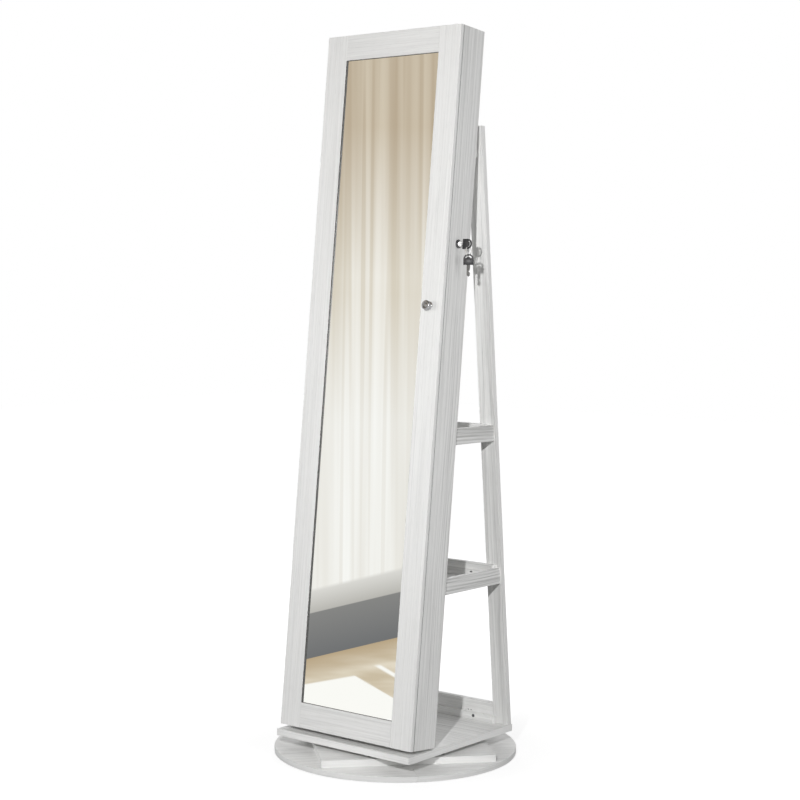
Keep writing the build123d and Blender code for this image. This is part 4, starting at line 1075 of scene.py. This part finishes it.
class MIRROR_OT_glass(bpy.types.Operator):
    """Silver the glass and finish the board behind it"""

    bl_idname = "mirror.glass"
    bl_label = "Finish the mirror"

    def execute(self, context):
        wear(frame["nodes"]["mirror_glass"], mirror_glass())
        wear(frame["nodes"]["mirror_backing"], hardboard())
        return {"FINISHED"}


class MIRROR_OT_fittings(bpy.types.Operator):
    """Finish the knob, the lock, the keys, the hinges and the fittings inside"""

    bl_idname = "mirror.fittings"
    bl_label = "Finish the fittings"

    def execute(self, context):
        settings = context.scene.mirror_metal
        steel = metal("nickel_steel", settings.steel, 0.22, 0.12, 0.12)
        nickel = metal("bright_nickel", settings.nickel, 0.12, 0.08)
        turned_knob(metal("polished_chrome", settings.chrome, 0.05, 0.06))
        rounded_node("lock_barrel", "polished", metal("black_nickel", settings.dark_steel, 0.12, 0.06))
        rounded_node("lock_plug", "polished", nickel)
        for node in ("lock_nut", "lock_cam", "cam_screw", "lock_strike", "key_blade",
                     "hinge_leaves_cabinet", "hinge_leaves_door", "hinge_pins", "guard_rods", "bar_sockets",
                     "necklace_hooks"):
            rounded_node(node, "plated", steel)
        rounded_node("spare_key_blade", "plated", metal("milled_steel", MILLED_STEEL, 0.55, 0.15, 0.15))
        black = plastic("moulded_black", MOULDED_BLACK, 0.38, 0.03 * MM)
        for node in ("key_bow", "spare_key_bow"):
            rounded_node(node, "moulded", black, 50.0, flattened=False)
        rounded_node("key_ring", "polished", nickel, flattened=False)
        rounded_node("earring_board", "glossy", plastic("black_acrylic", BLACK_ACRYLIC, 0.1, 0.002 * MM))
        rounded_node("bracelet_bar", "flocked", velvet("flocked_bar", context.scene.mirror_soft.velvet))
        return {"FINISHED"}


class MIRROR_OT_swivel(bpy.types.Operator):
    """Finish the ball race and the pads under the base"""

    bl_idname = "mirror.swivel"
    bl_label = "Finish the swivel"

    def execute(self, context):
        race = metal("satin_aluminium", ALUMINIUM, 0.32, 0.1, 0.1)
        for node in ("swivel_inner_race", "swivel_outer_race"):
            rounded_node(node, "turned", race)
        rounded_node("swivel_balls", "ground", metal("bearing_steel", BEARING_STEEL, 0.06, 0.05))
        rounded_node("swivel_cage", "moulded", plastic("natural_nylon", NATURAL_NYLON, 0.45, 0.02 * MM))
        rounded_node("base_pads", "foam", plastic("foam_rubber", FOAM_RUBBER, 0.75, 0.2 * MM))
        return {"FINISHED"}


class MIRROR_OT_screws(bpy.types.Operator):
    """Cut threads and cross recesses on every screw"""

    bl_idname = "mirror.screws"
    bl_label = "Thread the screws"

    def execute(self, context):
        settings = context.scene.mirror_metal
        tree = fastener_tree()
        dark = metal("black_zinc", settings.dark_steel, 0.3, 0.15)
        bright = metal("screw_zinc", settings.steel, 0.25, 0.12)
        for index, node in enumerate(("base_screws", "platform_screws", "rear_screws", "tray_screws")):
            threaded_screws(node, tree, dark, 10 * index)
        for index, node in enumerate(("door_screws", "hinge_screws")):
            threaded_screws(node, tree, bright, 100 + 10 * index)
        return {"FINISHED"}


class MIRROR_OT_cushion(bpy.types.Operator):
    """Make the ring cushion's velvet rolls"""

    bl_idname = "mirror.cushion"
    bl_label = "Make the ring cushion"

    def execute(self, context):
        settings = context.scene.mirror_soft
        finish = velvet("black_velvet", settings.velvet)
        piece = stand_in("ring_cushion", "rolls", cushion_mesh(settings), finish)
        return {"FINISHED"}


class MIRROR_OT_stage(bpy.types.Operator):
    """Set up the floor, the lights, the curtain that the glass reflects, and the camera"""

    bl_idname = "mirror.stage"
    bl_label = "Set the stage"

    def floor(self, settings):
        """A plain floor that reads white to the camera and keeps the object's soft shadow."""
        material, g, shader = new_material("plain_floor")
        shader.inputs["Base Color"].default_value = rgba([settings.floor_tone] * 3)
        shader.inputs["Roughness"].default_value = 0.9
        shader.inputs["Specular IOR Level"].default_value = 0.0
        reach = g.vector("LENGTH", g.coordinates(), output="Value")
        (near, dim), (far, full) = FLOOR_NEAR, FLOOR_FAR
        strength = g.times(seen_rays(g), g.ramp(reach, near, far, dim, full))
        glow = g.node("ShaderNodeEmission", {"Strength": strength})
        both = g.node("ShaderNodeAddShader", {0: shader.outputs[0], 1: glow.outputs[0]})
        g.output(both.outputs[0])
        stage_sheet("floor", level_square(FLOOR_HALF, 0), material)

    def world(self, settings):
        """Even light all round, white to the camera and in reflections."""
        world = bpy.data.worlds.new("studio")
        bpy.context.scene.world = world
        world.use_nodes = True
        g = Graph(world.node_tree)
        background = world.node_tree.nodes["Background"]
        background.inputs["Color"].default_value = (1, 1, 1, 1)
        strength = g.times_plus(seen_rays(g), 1.0 - settings.ambient, settings.ambient)
        world.node_tree.links.new(strength, background.inputs["Strength"])

    def lamp(self, name, place, power, size, glossy):
        """A round lamp, aimed at the middle of the object."""
        lamp = bpy.data.lights.new(name, "AREA")
        lamp.shape = "DISK"
        lamp.size = size
        lamp.energy = power
        obj = in_scene(name, lamp)
        obj.location = Vector(place)
        middle = (CAD_BOX[0] + CAD_BOX[1]) / 2
        obj.rotation_euler = (middle - obj.location).to_track_quat("-Z", "Y").to_euler()
        obj.visible_glossy = glossy

    def lamps(self, settings):
        """A small key lamp and four soft ones."""
        self.lamp("key", settings.key_place, settings.key_power, settings.key_size, True)
        for name, (place, power) in SOFT_LAMPS.items():
            self.lamp(name, place, getattr(settings, power), settings.soft_size, False)

    def room(self, settings):
        """A lit curtain, a low bench and a sunny floor that only reflections show.

        They are laid out upright, as they seem to stand behind the glass, and then mirrored to its front."""
        away, across = level_axes(settings.azimuth + settings.yaw)
        outwards = ON_SLOPE.transposed() @ Vector((0, -1, 0))
        face = frame_box("mirror_glass", ON_SLOPE)[0].y
        corners = [(ROOM_LEFT, ROOM_FOOT), (ROOM_RIGHT, ROOM_FOOT), (ROOM_RIGHT, ROOM_TOP),
                   (ROOM_LEFT, ROOM_TOP)]
        points = []
        for right, height in corners:
            behind = away * settings.room_depth + across * right + UP * height
            points.append(behind - 2 * (behind.dot(outwards) + face) * outwards)
        obj = stage_sheet("reflected_room", points, glowing("reflected_room", room_colour))
        layer = obj.data.uv_layers.new(name="UVMap")
        for loop in obj.data.loops:
            layer.data[loop.index].uv = corners[loop.vertex_index]
        only_in_reflections(obj)

    def card(self):
        """A dark card overhead that gives the polished metal its dark edges."""
        material = glowing("dark_card", lambda g: rgba(CARD_TONE))
        corners = level_square(CARD_HALF, CAD_BOX[1].z + CARD_ABOVE)
        only_in_reflections(stage_sheet("roof_card", corners, material))

    def camera(self, settings):
        """The camera, from the front right and a little above the middle."""
        place = -level_axes(settings.azimuth)[0] * settings.distance
        place.z = settings.height
        data = bpy.data.cameras.new("view")
        data.lens = settings.lens
        data.sensor_width = SENSOR_WIDTH
        camera = in_scene("view", data)
        aim = turn_about("Z", settings.azimuth + settings.yaw) @ turn_about("X", QUARTER - settings.pitch)
        aim = aim @ turn_about("Z", settings.roll)
        camera.matrix_world = Matrix.Translation(place) @ aim.to_4x4()
        bpy.context.scene.camera = camera

    def execute(self, context):
        settings = context.scene.mirror_stage
        context.scene.view_settings.view_transform = "Standard"
        self.floor(settings)
        self.world(settings)
        self.lamps(settings)
        self.room(settings)
        self.card()
        self.camera(settings)
        return {"FINISHED"}


OPERATORS = (
    MIRROR_OT_boards,
    MIRROR_OT_glass,
    MIRROR_OT_fittings,
    MIRROR_OT_swivel,
    MIRROR_OT_screws,
    MIRROR_OT_cushion,
    MIRROR_OT_stage,
)


class MIRROR_PT_panel(bpy.types.Panel):
    """Lists the steps and their settings."""

    bl_idname = "MIRROR_PT_panel"
    bl_label = "Mirror cabinet"
    bl_space_type = "VIEW_3D"
    bl_region_type = "UI"
    bl_category = "Mirror cabinet"

    def draw(self, context):
        for name, group in zip(SETTING_NAMES, SETTINGS):
            box = self.layout.box()
            box.label(text=group.__doc__)
            for key in group.__annotations__:
                box.prop(getattr(context.scene, name), key)
        for operator in OPERATORS:
            self.layout.operator(operator.bl_idname)


def register():
    """Registers the settings, the operators and the panel."""
    for name, group in zip(SETTING_NAMES, SETTINGS):
        bpy.utils.register_class(group)
        setattr(bpy.types.Scene, name, PointerProperty(type=group))
    for operator in OPERATORS:
        bpy.utils.register_class(operator)
    bpy.utils.register_class(MIRROR_PT_panel)


def unregister():
    """Takes everything out again."""
    bpy.utils.unregister_class(MIRROR_PT_panel)
    for operator in reversed(OPERATORS):
        bpy.utils.unregister_class(operator)
    for name, group in zip(SETTING_NAMES, SETTINGS):
        delattr(bpy.types.Scene, name)
        bpy.utils.unregister_class(group)


def main():
    """Runs every step in order."""
    register()
    for operator in OPERATORS:
        group, step = operator.bl_idname.split(".")
        getattr(getattr(bpy.ops, group), step)()


if __name__ == "__main__":
    main()
